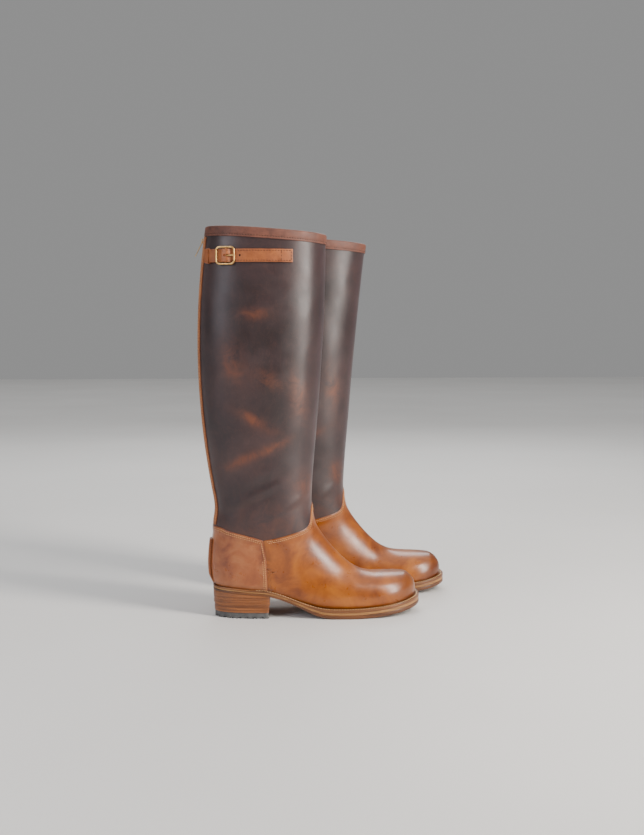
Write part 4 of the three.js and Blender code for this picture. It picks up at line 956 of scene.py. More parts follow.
def closed_band(name, side, outline, half, radius=0.45):
    """A closed outline of along and rise, laid on the wall and run across the strap's width."""
    wall = wall_line(side)
    outline = np.array(outline, float)
    along = np.roll(outline, -1, 0) - np.roll(outline, 1, 0)
    along /= np.linalg.norm(along, axis=1, keepdims=True)
    inward = np.stack([-along[:, 1], along[:, 0]], 1)
    area = (outline[:, 0] * np.roll(outline[:, 1], -1) - np.roll(outline[:, 0], -1) * outline[:, 1]).sum()
    inward *= 1 if area > 0 else -1
    rings = [(-half, radius), (-half + 0.3 * radius, 0.3 * radius), (-half + radius, 0)]
    rings += [(width, 0) for width in np.linspace(-half + 1.5, half - 1.5, 9)]
    rings += [(half - radius, 0), (half - 0.3 * radius, 0.3 * radius), (half, radius)]
    points = []
    for width, inset in rings:
        moved = outline + inward * inset
        plan = wall_at(wall, moved[:, 0], moved[:, 1])
        points.append(np.column_stack([plan, np.full(len(plan), STRAP_HEIGHT + width)]))
    count = len(outline)
    faces = grid_faces(len(rings), count, around=True)
    faces += [tuple(range(count)), tuple(range((len(rings) - 1) * count, len(rings) * count))]
    return add_mesh(name, side, np.vstack(points), faces)


def chape(side):
    """Short strap folded round the centre bar and sewn down, its cut end a little crumpled."""
    outline = [(-35, 0.9), (-24, 0.9), (-12, 0.9), (-4, 0.7)]
    outline += [(0.6, 0.7), (1.9, 1.2), (2.4, 2.6), (1.9, 4.0)]
    outline += [(0.9, CHAPE_TOP - 0.1), (-0.3, CHAPE_TOP), (-1.4, CHAPE_TOP - 0.1), (-3.2, CHAPE_TOP - 0.9)]
    outline += [(-6, 2.8), (-12, 2.8), (-18, 2.95), (-24, 2.8), (-29, 3.05)]
    outline += [(-32, 2.75), (-34.4, 2.7), (-35, 2.2)]
    fold_over = closed_band("chape_leather", side, smooth_ring(outline), 8.0)
    keeper = keeper_loop(side)
    return join("strap_chape_leather", side, [fold_over, keeper])


def smooth_ring(points, steps=3):
    """A closed outline rounded between its points."""
    line = np.array(points, float)
    made = []
    for index in range(len(line)):
        nearby = [line[(index + shift) % len(line)] for shift in (-1, 0, 1, 2)]
        for share in np.linspace(0, 1, steps, endpoint=False):
            made.append(curve_between(*nearby, share))
    return np.array(made)


def keeper_loop(side):
    """Loop across the strap that holds its tip."""
    wall = wall_line(side)
    half, low, high, thick = 8.8 + 0.45, 1.4, strap_rise(np.array(-29.0)) + 1.8 + GAP + 0.45, 0.45
    corner = 1.2
    loop = []
    for sign_w, sign_r, start in ((1, 1, 0), (-1, 1, 90), (-1, -1, 180), (1, -1, 270)):
        centre = (sign_w * (half - corner), mix(low, high, 0.5) + sign_r * ((high - low) / 2 - corner))
        for turn in np.radians(np.linspace(start, start + 90, 6)):
            loop.append((centre[0] + corner * math.cos(turn), centre[1] + corner * math.sin(turn), turn))
    section = [(-2.5, thick - 0.2), (-2.25, thick), (2.25, thick), (2.5, thick - 0.2),
               (2.5, -thick + 0.15), (2.3, -thick), (-2.3, -thick), (-2.5, -thick + 0.15)]  # fmt: skip
    points = []
    for width, rise, turn in loop:
        for run, out in section:
            plan = wall_at(wall, -26.5 + run, rise + out * math.sin(turn))
            points.append((plan[0], plan[1], STRAP_HEIGHT + width + out * math.cos(turn)))
    count = len(section)
    faces = grid_faces(len(loop), count, around=True)
    last = (len(loop) - 1) * count
    faces += [(last + i, i, (i + 1) % count, last + (i + 1) % count) for i in range(count)]
    return add_mesh("keeper_leather", side, points, faces)


def buckle_matrix(side):
    """+X along the strap to the front, +Y out from the leg, origin on the leg under the centre bar."""
    wall = wall_line(side)
    foot, out = wall_at(wall, 0, 0), wall_at(wall, 0, 1)
    outward = Vector((out[0] - foot[0], out[1] - foot[1], 0)).normalized()
    forward = Vector((-outward.y, outward.x, 0))
    basis = Matrix((forward, outward, Vector((0, 0, -1)))).transposed().to_4x4()
    return Matrix.Translation((foot[0], foot[1], STRAP_HEIGHT)) @ basis


def tube(name, side, path, radii, matrix, closed=False, count=14, flat=1.0):
    """A round bar along a path of points in the buckle's frame; flat squashes it along local Y."""
    path = np.array(path, float)
    step = (np.roll(path, -1, 0) - np.roll(path, 1, 0)) if closed else np.gradient(path, axis=0)
    step /= np.linalg.norm(step, axis=1, keepdims=True)
    points = []
    for index, centre in enumerate(path):
        out = np.array([0.0, 1.0, 0.0])
        beside = np.cross(step[index], out)
        beside /= max(np.linalg.norm(beside), 1e-6)
        out = np.cross(beside, step[index])
        for turn in np.linspace(0, 2 * PI, count, endpoint=False):
            offset = beside * math.cos(turn) + out * math.sin(turn) * flat
            points.append(matrix @ Vector(centre + offset * radii[index]))
    faces = grid_faces(len(path), count, around=True)
    last = (len(path) - 1) * count
    if closed:
        faces += [(last + i, i, (i + 1) % count, last + (i + 1) % count) for i in range(count)]
    else:
        faces += [tuple(range(count)), tuple(range(last, last + count))]
    return add_mesh(name, side, np.array(points), faces, 50)


def buckle(side):
    """Round-cornered cast frame with its straight centre bar."""
    matrix = buckle_matrix(side)
    length, width = BUCKLE_LENGTH / 2 - BUCKLE_ROD, BUCKLE_WIDTH / 2 - BUCKLE_ROD
    path = []
    for sign_x, sign_z, start in ((1, 1, 0), (-1, 1, 90), (-1, -1, 180), (1, -1, 270)):
        for turn in np.radians(np.linspace(start, start + 90, 9)):
            x = sign_x * (length - BUCKLE_CORNER) + BUCKLE_CORNER * math.cos(turn)
            z = sign_z * (width - BUCKLE_CORNER) + BUCKLE_CORNER * math.sin(turn)
            path.append((x, BUCKLE_RISE - BUCKLE_TILT * x, z))
    ring = tube("buckle_ring", side, path, [1.28] * len(path), matrix, closed=True, flat=0.86)
    half_bar = [(0, 3.9, -11.4), (0, 3.0, -10.6), (0, BAR_RISE, -9.4)]
    bar_path = half_bar + [(0, BAR_RISE, 0)] + [(x, y, -z) for x, y, z in reversed(half_bar)]
    bar = tube("buckle_bar", side, bar_path, [BAR_RADIUS] * len(bar_path), matrix)
    return join("buckle_frame_brass", side, [ring, bar])


def prong(side):
    """Tapered prong with its eye round the centre bar."""
    matrix = buckle_matrix(side)
    front = BUCKLE_RISE + 1.1 - BUCKLE_TILT * (BUCKLE_LENGTH / 2 - 2.4)
    turn = np.radians(np.linspace(-70, 250, 20))
    eye = [(1.55 * math.cos(a), BAR_RISE + 1.55 * math.sin(a), 0) for a in turn]
    eye_ring = tube("prong_eye", side, eye, [0.5] * len(eye), matrix, count=10)
    arm = [(0.3, 4.25, 0), (1.6, 4.2, 0), (5, mix(4.3, front, 0.35) + 0.3, 0), (9, front + 0.65, 0),
           (11.5, front + 0.75, 0), (13.2, front + 0.7, 0), (14.0, front + 0.6, 0)]  # fmt: skip
    shaft_piece = tube("prong_arm", side, arm, [0.62, 0.8, 0.85, 0.8, 0.72, 0.6, 0.3], matrix, count=12)
    return join("buckle_prong_brass", side, [eye_ring, shaft_piece])


# ---- Sole and heel --------------------------------------------------------------------------------------

OUTLINE = 120


def feather_half(sign):
    share = (1 - np.cos(np.linspace(0, PI, 241))) / 2
    position = mix(HEEL_START, TOE_END, share)
    angle = feather_angle(position, sign)
    angle[0] = angle[-1] = PI
    points = bare_surface(position, sign * angle, 0)[:, :2]
    run = np.concatenate([[0], np.cumsum(np.linalg.norm(np.diff(points, axis=0), axis=1))])
    closer_at_ends = run[-1] * (1 - np.cos(np.linspace(0, PI, OUTLINE))) / 2
    even = closer_at_ends * 0.35 + np.linspace(0, run[-1], OUTLINE) * 0.65
    return np.stack([np.interp(even, run, points[:, axis]) for axis in (0, 1)], 1)


def feather_loop():
    """Where the upper meets the welt, counter-clockwise seen from above."""
    outer, inner = feather_half(-1), feather_half(1)
    return np.vstack([outer, inner[::-1][1:-1]])


FEATHER = feather_loop()


def loop_moved(loop, reach):
    along = np.roll(loop, -1, 0) - np.roll(loop, 1, 0)
    along /= np.linalg.norm(along, axis=1, keepdims=True)
    distance = reach(loop[:, 0]) if callable(reach) else reach
    outward = np.stack([along[:, 1], -along[:, 0]], 1)
    return loop + outward * np.broadcast_to(distance, (len(loop),))[:, None]


def welt_reach(x):
    return mix(2.4, 6.5, ease(x, HEEL_BREAST + 10, BALL_START))


EDGE_LOOP = loop_moved(FEATHER, welt_reach)


def slab(name, side, loop, top, bottom, radius, across=10, smooth=35):
    """A layer with rounded edges between two heights, each a function of x, and whole faces."""
    steps = [(0, radius), (0.12 * radius, 0.5 * radius), (0.5 * radius, 0.13 * radius), (radius, 0)]
    rings = [(bottom, height, inset) for height, inset in steps]
    rings += [(top, -height, inset) for height, inset in reversed(steps)]
    points, count = [], len(loop)
    for level, height, inset in rings:
        ring = loop_moved(loop, -inset)
        points.append(np.column_stack([ring, level(ring[:, 0]) + height]))
    faces = grid_faces(len(rings), count, around=True)
    half = count // 2
    total = len(rings) * count
    for ring, level in ((0, bottom), (len(rings) - 1, top)):
        base = points[ring]
        pairs = [(i, (count - i) % count) for i in range(half + 1)]
        rows = []
        for i, j in pairs:
            share = np.linspace(0, 1, across + 1)[:, None]
            line = mix(base[i], base[j], share)
            line[1:-1, 2] = level(line[1:-1, 0])
            rows.append(line)
        cap = np.array(rows)
        points.append(cap.reshape(-1, 3))
        faces += grid_faces(len(rows), across + 1, start=total)
        total += cap.shape[0] * cap.shape[1]
    return add_mesh(name, side, np.vstack(points), faces, smooth)


def welt(side):
    top = lambda x: sole_height(x, 0)
    return slab("welt_leather", side, EDGE_LOOP, top, lambda x: sole_height(x, WELT_SHARE), 0.55)


def midsole(side):
    top = lambda x: sole_height(x, WELT_SHARE) - 0.15
    bottom = lambda x: sole_height(x, WELT_SHARE + MIDSOLE_SHARE)
    return slab("midsole_leather", side, loop_moved(EDGE_LOOP, -0.35), top, bottom, 0.35)


def outsole(side):
    top = lambda x: sole_height(x, WELT_SHARE + MIDSOLE_SHARE) - 0.15
    return slab("outsole_leather", side, loop_moved(EDGE_LOOP, -0.1), top, lambda x: sole_height(x, 1), 0.8)


def heel_loop(inset):
    """The heel's outline: the sole's edge behind the breast, closed across it with small round corners."""
    loop = loop_moved(EDGE_LOOP, -inset)
    breast, corner = HEEL_BREAST - inset, 2.5
    half = len(loop) // 2
    outer = [point for point in loop[: half + 1] if point[0] < breast - corner]
    inner = [point for point in loop[half:] if point[0] < breast - corner]
    y_outer, y_inner = outer[-1][1], inner[0][1]

    def rounded(y, inward):
        turns = np.linspace(0.25, PI / 2, 6)
        return [(breast - corner * (1 - math.sin(a)), y + inward * (1 - math.cos(a))) for a in turns]

    round_outer, round_inner = rounded(y_outer, corner), rounded(y_inner, -corner)
    run = [(breast, y) for y in np.linspace(round_outer[-1][1], round_inner[-1][1], 10)[1:-1]]
    points = np.array([*outer, *round_outer, *run, *round_inner[::-1], *inner])
    back = int(np.argmin(np.hypot(points[:, 0] - points[:, 0].min(), points[:, 1])))
    points = np.roll(points, -back, 0)
    return points if len(points) % 2 == 0 else points[:-1]


def flat_at(height):
    return lambda x: height + 0 * x


def heel_lifts(name, side, low, high, count, inset, top=None):
    """Thin leather lifts, each a hair wider or narrower than the next, as a trimmed stack is."""
    pieces = []
    step = (high - low) / count
    for index in range(count):
        start = low + index * step
        last = top is not None and index == count - 1
        wider = 0.14 * math.sin(index * 2.4 + low)
        upper = top if last else flat_at(start + step - 0.06)
        pieces.append(slab("lift", side, heel_loop(inset + wider), upper, flat_at(start + 0.02), 0.3, 6))
    return join(name, side, pieces)


LOWER_LIFTS_TOP = 18.4
UPPER_LIFTS_TOP = TOPLIFT + 20.8


def seat_lift(side):
    under = lambda x: sole_height(x, 1) - 0.1
    return heel_lifts("heel_seat_leather", side, UPPER_LIFTS_TOP, UPPER_LIFTS_TOP + 3.2, 1, 0.45, under)


def toplift(side):
    """Rubber top piece with cross grooves."""
    top, bottom = flat_at(TOPLIFT - 0.1), flat_at(0.0)
    piece = slab("heel_toplift_rubber", side, heel_loop(2.7), top, bottom, 0.5, 12)
    grooves = []
    for x in np.arange(10, HEEL_BREAST - 5, 10):
        block = rounded_block("groove", (x - 1.3, -60, -3), (x + 1.3, 60, 2.2), 0.35)
        grooves.append(set_down(block, side, Matrix.Identity(4)))
    cut_away(piece, grooves)
    return piece


def sock_liner(side):
    loop = loop_moved(FEATHER, -5.2)
    top, bottom = lambda x: feather_height(x) + 5.1, lambda x: feather_height(x) + 3.6
    return slab("sock_liner_leather", side, loop, top, bottom, 0.4)


# ---- Stitching ----------------------------------------------------------------------------------------


def stitch_row(name, side, line, out, pitch, length, thick, sink=0.1):
    """One thread row along a line of points, each stitch a short round loaf that dips at its ends."""
    line, out = np.asarray(line, float), np.asarray(out, float)
    run = np.concatenate([[0], np.cumsum(np.linalg.norm(np.diff(line, axis=0), axis=1))])
    count = max(2, int(run[-1] / pitch))
    middles = (np.arange(count) + 0.5) * run[-1] / count
    at = lambda distance: np.stack([np.interp(distance, run, line[:, axis]) for axis in range(3)], -1)
    out_at = lambda distance: np.stack([np.interp(distance, run, out[:, axis]) for axis in range(3)], -1)
    shape = [(-0.5, 0.35, -0.7), (-0.36, 0.85, 0.1), (-0.12, 1, 0.35)]
    shape += [(-share, size, lift) for share, size, lift in reversed(shape)]
    turn = np.linspace(0, 2 * PI, 6, endpoint=False)
    rings = []
    for share, size, lift in shape:
        centre = at(middles + share * length)
        normal = out_at(middles + share * length)
        normal /= np.linalg.norm(normal, axis=1, keepdims=True)
        ahead = at(middles + share * length + 0.3) - at(middles + share * length - 0.3)
        ahead /= np.maximum(np.linalg.norm(ahead, axis=1, keepdims=True), 1e-9)
        beside = np.cross(ahead, normal)
        centre = centre + normal * (thick * (0.35 * lift + 0.15) - sink)
        ring = beside[:, None] * np.cos(turn)[:, None] + normal[:, None] * np.sin(turn)[:, None]
        rings.append(centre[:, None] + ring * thick * size / 2)
    points = np.stack(rings, 1).reshape(-1, 3)
    each = len(shape) * 6
    faces = []
    for piece in range(count):
        faces += grid_faces(len(shape), 6, start=piece * each, around=True)
        faces.append(tuple(piece * each + index for index in range(6)))
        faces.append(tuple(piece * each + each - 6 + index for index in range(6)))
    return add_mesh(name, side, points, faces, 60)


def line_on_upper(side, shares, value, low, high, offset):
    """Points and outward directions where the columns at these shares meet a line."""
    flare = FLARE[side]
    at = lambda position: bare_surface(position, turned(position, shares), flare)
    position = crossing(lambda p: value(at(p)), np.full(shares.shape, low), np.full(shares.shape, high))
    angle = turned(position, shares)
    lift = offset(bare_surface(position, angle, flare)) if callable(offset) else offset
    return surface(position, angle, flare, lift), surface_normal(position, angle, flare)


# Distances of the rows from the edge they follow; pitch, length and thickness of a seam's stitches.
VAMP_ROWS, COUNTER_ROWS = (2.3, 4.5), (2.3, 4.7)
SEAM = (2.9, 2.2, 0.95)


def vamp_threads(side):
    """Two close rows below the vamp's upper edge, over the tongue peak from corner to corner."""
    corner = abs(corner_share(-1))
    shares = np.linspace(-corner * 0.985, corner * 0.985, 900)
    rows = []
    for index, drop in enumerate(VAMP_ROWS):
        value = over_line(VAMP_TOP_LINE + np.array([0.35, -1.0]) * drop)
        line, out = line_on_upper(side, shares, value, 6.5, 14.0, lap)
        keep = line[:, 0] > 73 + drop
        rows.append(stitch_row(f"vamp_row_{index}", side, line[keep], out[keep], *SEAM))
    return join("vamp_stitching_thread", side, rows)


def counter_threads(side):
    """Two rows inside the counter's top and front edges, on both faces."""
    corner = abs(corner_share(-1))
    rows = []
    for sign in (-1, 1):
        for index, drop in enumerate(COUNTER_ROWS):
            shares = sign * np.linspace(corner + 0.01, 0.93, 500)
            below = over_line(moved_line(COUNTER_TOP_LINE, -drop))
            line, out = line_on_upper(side, shares, below, 7.0, 14.0, counter_lap)
            keep = line[:, 0] < CORNER[0] - 0.6 * drop
            rows.append(stitch_row(f"counter_top_{index}", side, line[keep], out[keep], *SEAM))
            shares = sign * (corner + (0.995 - corner) * np.linspace(0.01, 1, 900) ** 2.5)
            behind = behind_line(COUNTER_FRONT_LINE - np.array([drop, 0]))
            line, out = line_on_upper(side, shares, behind, 8.5, 17.0, counter_lap)
            keep = below(line) < 0
            rows.append(stitch_row(f"counter_front_{index}", side, line[keep], out[keep], *SEAM))
    return join("counter_stitching_thread", side, rows)


def binding_threads(side):
    flare = FLARE[side]
    share = np.linspace(-0.995, 0.995, 500)
    edges = slot_angle(FINE_POSITIONS[:400], SLOT_HALF, flare)
    angle_of = lambda position: share * np.interp(position, FINE_POSITIONS[:400], edges)
    at = lambda position: bare_surface(position, angle_of(position), flare)
    value = lambda p: at(p)[..., 2] - topline(at(p)[..., 0]) + BINDING - BINDING_ROW
    position = crossing(value, np.zeros(share.shape), np.full(share.shape, 3.0))
    line = surface(position, angle_of(position), flare, GAP + TRIM - 0.15)
    out = surface_normal(position, angle_of(position), flare)
    return stitch_row("binding_stitching_thread", side, line, out, 3.6, 2.7, 0.95)


def facing_threads(side):
    flare = FLARE[side]
    heights = np.linspace(SHAFT_HEIGHT - BINDING - 3, 129, 400)
    rows = []
    for sign in (-1, 1):
        for name, y in (("near", SLOT_HALF + GAP + FACING_ROW), ("far", FACING_HALF - FACING_ROW)):
            position, angle = at_back(np.full(heights.shape, sign * y), heights, flare)
            line = surface(position, angle, flare, GAP + TRIM - 0.15)
            out = surface_normal(position, angle, flare)
            rows.append(stitch_row(f"facing_{name}", side, line, out, 4, 3.2, 0.7))
    return join("facing_stitching_thread", side, rows)


def strap_threads(side):
    """Rows down both edges of the strap and across its square front end."""
    wall = wall_line(side)
    rows = []
    for name, width in (("low", -STRAP_HALF + STRAP_ROW), ("high", STRAP_HALF - STRAP_ROW)):
        along = np.linspace(2, STRAP_FRONT_END - STRAP_ROW, 400)
        plan = wall_at(wall, along, strap_rise(along) + 1.62)
        further = wall_at(wall, along, strap_rise(along) + 2.62)
        line = np.column_stack([plan, np.full(400, STRAP_HEIGHT + width)])
        out = np.column_stack([further - plan, np.zeros(400)])
        rows.append(stitch_row(f"strap_{name}", side, line, out, 3.7, 2.7, 0.95))
    reach = STRAP_HALF - STRAP_ROW
    for name, along in (("front", STRAP_FRONT_END - STRAP_ROW), ("second", STRAP_FRONT_END - 15)):
        plan = wall_at(wall, along, 0.9 + 1.72)
        further = wall_at(wall, along, 0.9 + 2.72)
        height = np.linspace(STRAP_HEIGHT - reach, STRAP_HEIGHT + reach, 40)
        line = np.column_stack([np.tile(plan, (40, 1)), height])
        out = np.tile(np.append(further - plan, 0), (40, 1))
        rows.append(stitch_row(f"strap_{name}", side, line, out, 3.4, 2.5, 0.95))
    return join("strap_stitching_thread", side, rows)


def welt_threads(side):
    """Light thread round the welt's top, between the upper and the edge."""
    reach = lambda x: welt_reach(x) * 0.52
    loop = loop_moved(FEATHER, reach)
    front = loop[loop[:, 0] > HEEL_BREAST - 22]
    line = np.column_stack([front, feather_height(front[:, 0])])
    out = np.tile([0.0, 0.0, 1.0], (len(line), 1))
    return stitch_row("welt_stitching_thread", side, line, out, 3.6, 2.6, 1.0, 0.1)


def spur_threads(side):
    flare = FLARE[side]
    heights = np.linspace(102, 52, 200)
    rows = []
    for sign in (-1, 1):
        position, angle = at_back(np.full(heights.shape, sign * 6.0), heights, flare)
        line = surface(position, angle, flare, GAP + spur_thickness(heights) - 0.02)
        out = surface_normal(position, angle, flare)
        rows.append(stitch_row("spur_row", side, line, out, 3.4, 2.7, 0.7))
    return join("spur_rest_stitching_thread", side, rows)


# ---- Finishes -----------------------------------------------------------------------------------------


def linear(colour):
    """sRGB hex to the linear colour that shaders work in."""
    channels = [int(colour[start : start + 2], 16) / 255 for start in (1, 3, 5)]
    return (*[c / 12.92 if c <= 0.04045 else ((c + 0.055) / 1.055) ** 2.4 for c in channels], 1)


def node(tree, kind, inputs=(), **settings):
    """Adds a node; inputs is pairs of socket and value or the output that feeds it."""
    made = tree.nodes.new(kind)
    for name, value in settings.items():
        setattr(made, name, value)
    for socket, value in inputs:
        if isinstance(value, bpy.types.NodeSocket):
            tree.links.new(value, made.inputs[socket])
        else:
            made.inputs[socket].default_value = value
    return made


def ramp(tree, factor, stops):
    made = node(tree, "ShaderNodeValToRGB", [("Fac", factor)])
    points = made.color_ramp.elements
    while len(points) < len(stops):
        points.new(0.5)
    for point, (place_at, colour) in zip(points, stops):
        point.position = place_at
        point.color = linear(colour) if isinstance(colour, str) else (colour, colour, colour, 1)
    return made.outputs["Color"]


def noise(tree, where, size_mm, detail=4.0, rough=0.55, stretch=(1, 1, 1), distortion=0.0):
    """Cloudy noise whose largest shapes are about this many millimetres."""
    if stretch != (1, 1, 1):
        where = node(tree, "ShaderNodeMapping", [("Vector", where), ("Scale", stretch)]).outputs[0]
    settings = [("Vector", where), ("Scale", 1000 / size_mm), ("Detail", detail), ("Roughness", rough)]
    return node(tree, "ShaderNodeTexNoise", settings + [("Distortion", distortion)]).outputs["Fac"]


def cells(tree, where, size_mm, feature="F1"):
    settings = [("Vector", where), ("Scale", 1000 / size_mm)]
    return node(tree, "ShaderNodeTexVoronoi", settings, feature=feature).outputs["Distance"]


def blend(tree, kind, factor, first, second):
    sockets = [(0, factor), (6, first), (7, second)]
    return node(tree, "ShaderNodeMix", sockets, data_type="RGBA", blend_type=kind).outputs[2]


def sums(tree, operation, first, second):
    return node(tree, "ShaderNodeMath", [(0, first), (1, second)], operation=operation).outputs[0]


def bump(tree, height, depth_mm, strength=1.0, under=None):
    inputs = [("Height", height), ("Distance", depth_mm / 1000), ("Strength", strength)]
    if under is not None:
        inputs.append(("Normal", under))
    return node(tree, "ShaderNodeBump", inputs).outputs[0]


def start(name):
    material = bpy.data.materials.new(name)
    material.use_nodes = True
    tree = material.node_tree
    return material, tree, tree.nodes["Principled BSDF"], node(tree, "ShaderNodeTexCoord").outputs["Object"]


def feed(tree, shader, **values):
    for name, value in values.items():
        socket = shader.inputs[name.replace("_", " ")]
        if isinstance(value, bpy.types.NodeSocket):
            tree.links.new(value, socket)
        else:
            socket.default_value = value


def attribute(tree, name):
    return node(tree, "ShaderNodeAttribute", attribute_name=name).outputs["Fac"]


def waxed_shaft():
    """Waxed pull-up leather: dark plum brown in clouds, rust where it was bent, a dull wax sheen."""
    material, tree, shader, where = start("waxed_pull_up_leather")
    cloud = noise(tree, where, 85, 5, 0.6, distortion=0.4)
    fine = noise(tree, where, 9, 6, 0.65)
    base = ramp(tree, cloud, [(0.3, "#241a1b"), (0.48, "#322425"), (0.64, "#3e2c2b"), (0.8, "#4c342e")])
    base = blend(tree, "OVERLAY", 0.35, base, ramp(tree, fine, [(0.3, 0.36), (0.7, 0.62)]))
    patch = ramp(tree, noise(tree, where, 22, 5, 0.7, distortion=0.8), [(0.36, 0.0), (0.74, 1.0)])
    rust = sums(tree, "MULTIPLY", attribute(tree, "pull_up"), patch)
    base = blend(tree, "MIX", rust, base, linear("#7c4427"))
    creases = noise(tree, where, 34, 7, 0.72, (1, 1, 0.55), 2.4)
    veins = ramp(tree, creases, [(0.49, 0.0), (0.505, 1.0), (0.52, 0.0)])
    base = blend(tree, "MIX", sums(tree, "MULTIPLY", veins, 0.16), base, linear("#6a4030"))
    rough = ramp(tree, noise(tree, where, 30, 5, 0.6), [(0.3, 0.3), (0.7, 0.46)])
    grain = bump(tree, cells(tree, where, 1.1), 0.05, 0.5)
    grain = bump(tree, noise(tree, where, 4.5, 6, 0.6), 0.12, 0.5, grain)
    feed(tree, shader, Base_Color=base, Roughness=rough, Normal=grain)
    feed(tree, shader, Sheen_Weight=0.14, Sheen_Roughness=0.45, Sheen_Tint=linear("#b9abb8"))
    return material


def tan_leather(name, dark, middle, light, burnish_and_shade_colour, size=38.0):
    """Polished bridle leather: honey tan with a fine pore, darker at the burnished toe and with painted
    shade along the welt, the seam edges and the stitch rows.
    """
    material, tree, shader, where = start(name)
    cloud = noise(tree, where, size, 5, 0.6, distortion=0.6)
    base = ramp(tree, cloud, [(0.3, dark), (0.5, middle), (0.72, light)])
    mottle = ramp(tree, noise(tree, where, 6, 6, 0.7), [(0.3, 0.4), (0.7, 0.58)])
    base = blend(tree, "OVERLAY", 0.45, base, mottle)
    # Darker at the burnished toe, with painted shade along the welt, the seam edges and the stitch rows.
    base = blend(tree, "MIX", attribute(tree, "toe_burnish_and_painted_shade"), base, linear(burnish_and_shade_colour))
    rough = ramp(tree, noise(tree, where, 18, 4, 0.6), [(0.3, 0.25), (0.7, 0.4)])
    grain = bump(tree, cells(tree, where, 0.8), 0.035, 0.4)
    grain = bump(tree, noise(tree, where, 5, 5, 0.6), 0.08, 0.4, grain)
    feed(tree, shader, Base_Color=base, Roughness=rough, Normal=grain)
    feed(tree, shader, Coat_Weight=0.25, Coat_Roughness=0.22)
    return material


def matt_leather(name, dark, light, pore_mm=1.0, rough=(0.5, 0.7)):
    """Plain leather with a matt pore, for bindings, facings, straps and linings."""
    material, tree, shader, where = start(name)
    base = ramp(tree, noise(tree, where, 16, 6, 0.65), [(0.28, dark), (0.74, light)])
    streak = ramp(tree, noise(tree, where, 3, 5, 0.7), [(0.3, 0.38), (0.7, 0.6)])
    base = blend(tree, "OVERLAY", 0.5, base, streak)
    dull = ramp(tree, noise(tree, where, 12, 4, 0.5), [(0.3, rough[0]), (0.7, rough[1])])
    grain = bump(tree, cells(tree, where, pore_mm), 0.06, 0.6)
    grain = bump(tree, noise(tree, where, 3.5, 5, 0.6), 0.1, 0.5, grain)
    feed(tree, shader, Base_Color=base, Roughness=dull, Normal=grain)
    return material


def stacked_leather(name, dark, light, band_mm):
    """Cut leather edge: fibres in level bands, wax-polished."""
    material, tree, shader, where = start(name)
    layers = noise(tree, where, 40, 3, 0.5, (0.5, 0.5, 40 / band_mm))
    base = ramp(tree, layers, [(0.3, dark), (0.7, light)])
    fibre = ramp(tree, noise(tree, where, 5, 6, 0.7, (1, 1, 6)), [(0.3, 0.34), (0.7, 0.64)])
    base = blend(tree, "OVERLAY", 0.6, base, fibre)
    rough = ramp(tree, fibre, [(0.3, 0.32), (0.8, 0.5)])
    feed(tree, shader, Base_Color=base, Roughness=rough, Normal=bump(tree, fibre, 0.08, 0.6))
    feed(tree, shader, Coat_Weight=0.15)
    return material


def waxed_thread(name, dark, light):
    """Twisted waxed thread: fine bands of light and dark along each stitch."""
    material, tree, shader, where = start(name)
    twist = noise(tree, where, 0.6, 3, 0.6)
    base = ramp(tree, twist, [(0.35, dark), (0.65, light)])
    feed(tree, shader, Base_Color=base, Roughness=ramp(tree, twist, [(0.3, 0.5), (0.7, 0.7)]))
    feed(tree, shader, Normal=bump(tree, twist, 0.05, 0.7))
    return material


def cast_metal(name, dark, light, rough=(0.2, 0.38)):
    """Tumbled metal: faint tarnish in clouds and hair scratches that break the shine."""
    material, tree, shader, where = start(name)
    base = ramp(tree, noise(tree, where, 7, 6, 0.65), [(0.3, dark), (0.62, light)])
    scratch = noise(tree, where, 2.5, 8, 0.7, (1, 1, 9))
    shine = ramp(tree, scratch, [(0.3, rough[0]), (0.7, rough[1])])
    feed(tree, shader, Base_Color=base, Roughness=shine, Metallic=1.0)
    feed(tree, shader, Normal=bump(tree, scratch, 0.02, 0.3))
    return material


def woven_tape():
    """Woven zip tape: dark brown polyester with a fine herringbone rib."""
    material, tree, shader, where = start("woven_zip_tape")
    rib = node(tree, "ShaderNodeTexWave", [("Vector", where), ("Scale", 420.0), ("Distortion", 0.6)],
               bands_direction="DIAGONAL").outputs["Fac"]  # fmt: skip
    base = ramp(tree, rib, [(0.2, "#1f1916"), (0.8, "#3a302a")])
    rough = ramp(tree, noise(tree, where, 6, 4, 0.6), [(0.3, 0.75), (0.7, 0.9)])
    feed(tree, shader, Base_Color=base, Roughness=rough, Normal=bump(tree, rib, 0.12, 0.6))
    return material


def moulded_rubber():
    """Moulded heel rubber: slate grey with dust in the low spots and a fine pitted skin."""
    material, tree, shader, where = start("moulded_heel_rubber")
    dust = noise(tree, where, 12, 6, 0.65)
    base = ramp(tree, dust, [(0.35, "#464646"), (0.6, "#5c5b5a"), (0.75, "#7b7977")])
    rough = ramp(tree, dust, [(0.3, 0.62), (0.7, 0.85)])
    pits = bump(tree, noise(tree, where, 1.2, 4, 0.6), 0.06, 0.6)
    feed(tree, shader, Base_Color=base, Roughness=rough, Normal=pits)
    return material


def board(name, dark, light, speck_mm):
    """Pressed board or cork: coarse specks in a matt binder."""
    material, tree, shader, where = start(name)
    specks = cells(tree, where, speck_mm)
    base = ramp(tree, specks, [(0.1, dark), (0.6, light)])
    rough = ramp(tree, noise(tree, where, 8, 4, 0.6), [(0.3, 0.8), (0.7, 0.95)])
    feed(tree, shader, Base_Color=base, Roughness=rough, Normal=bump(tree, specks, 0.2, 0.6))
    return material


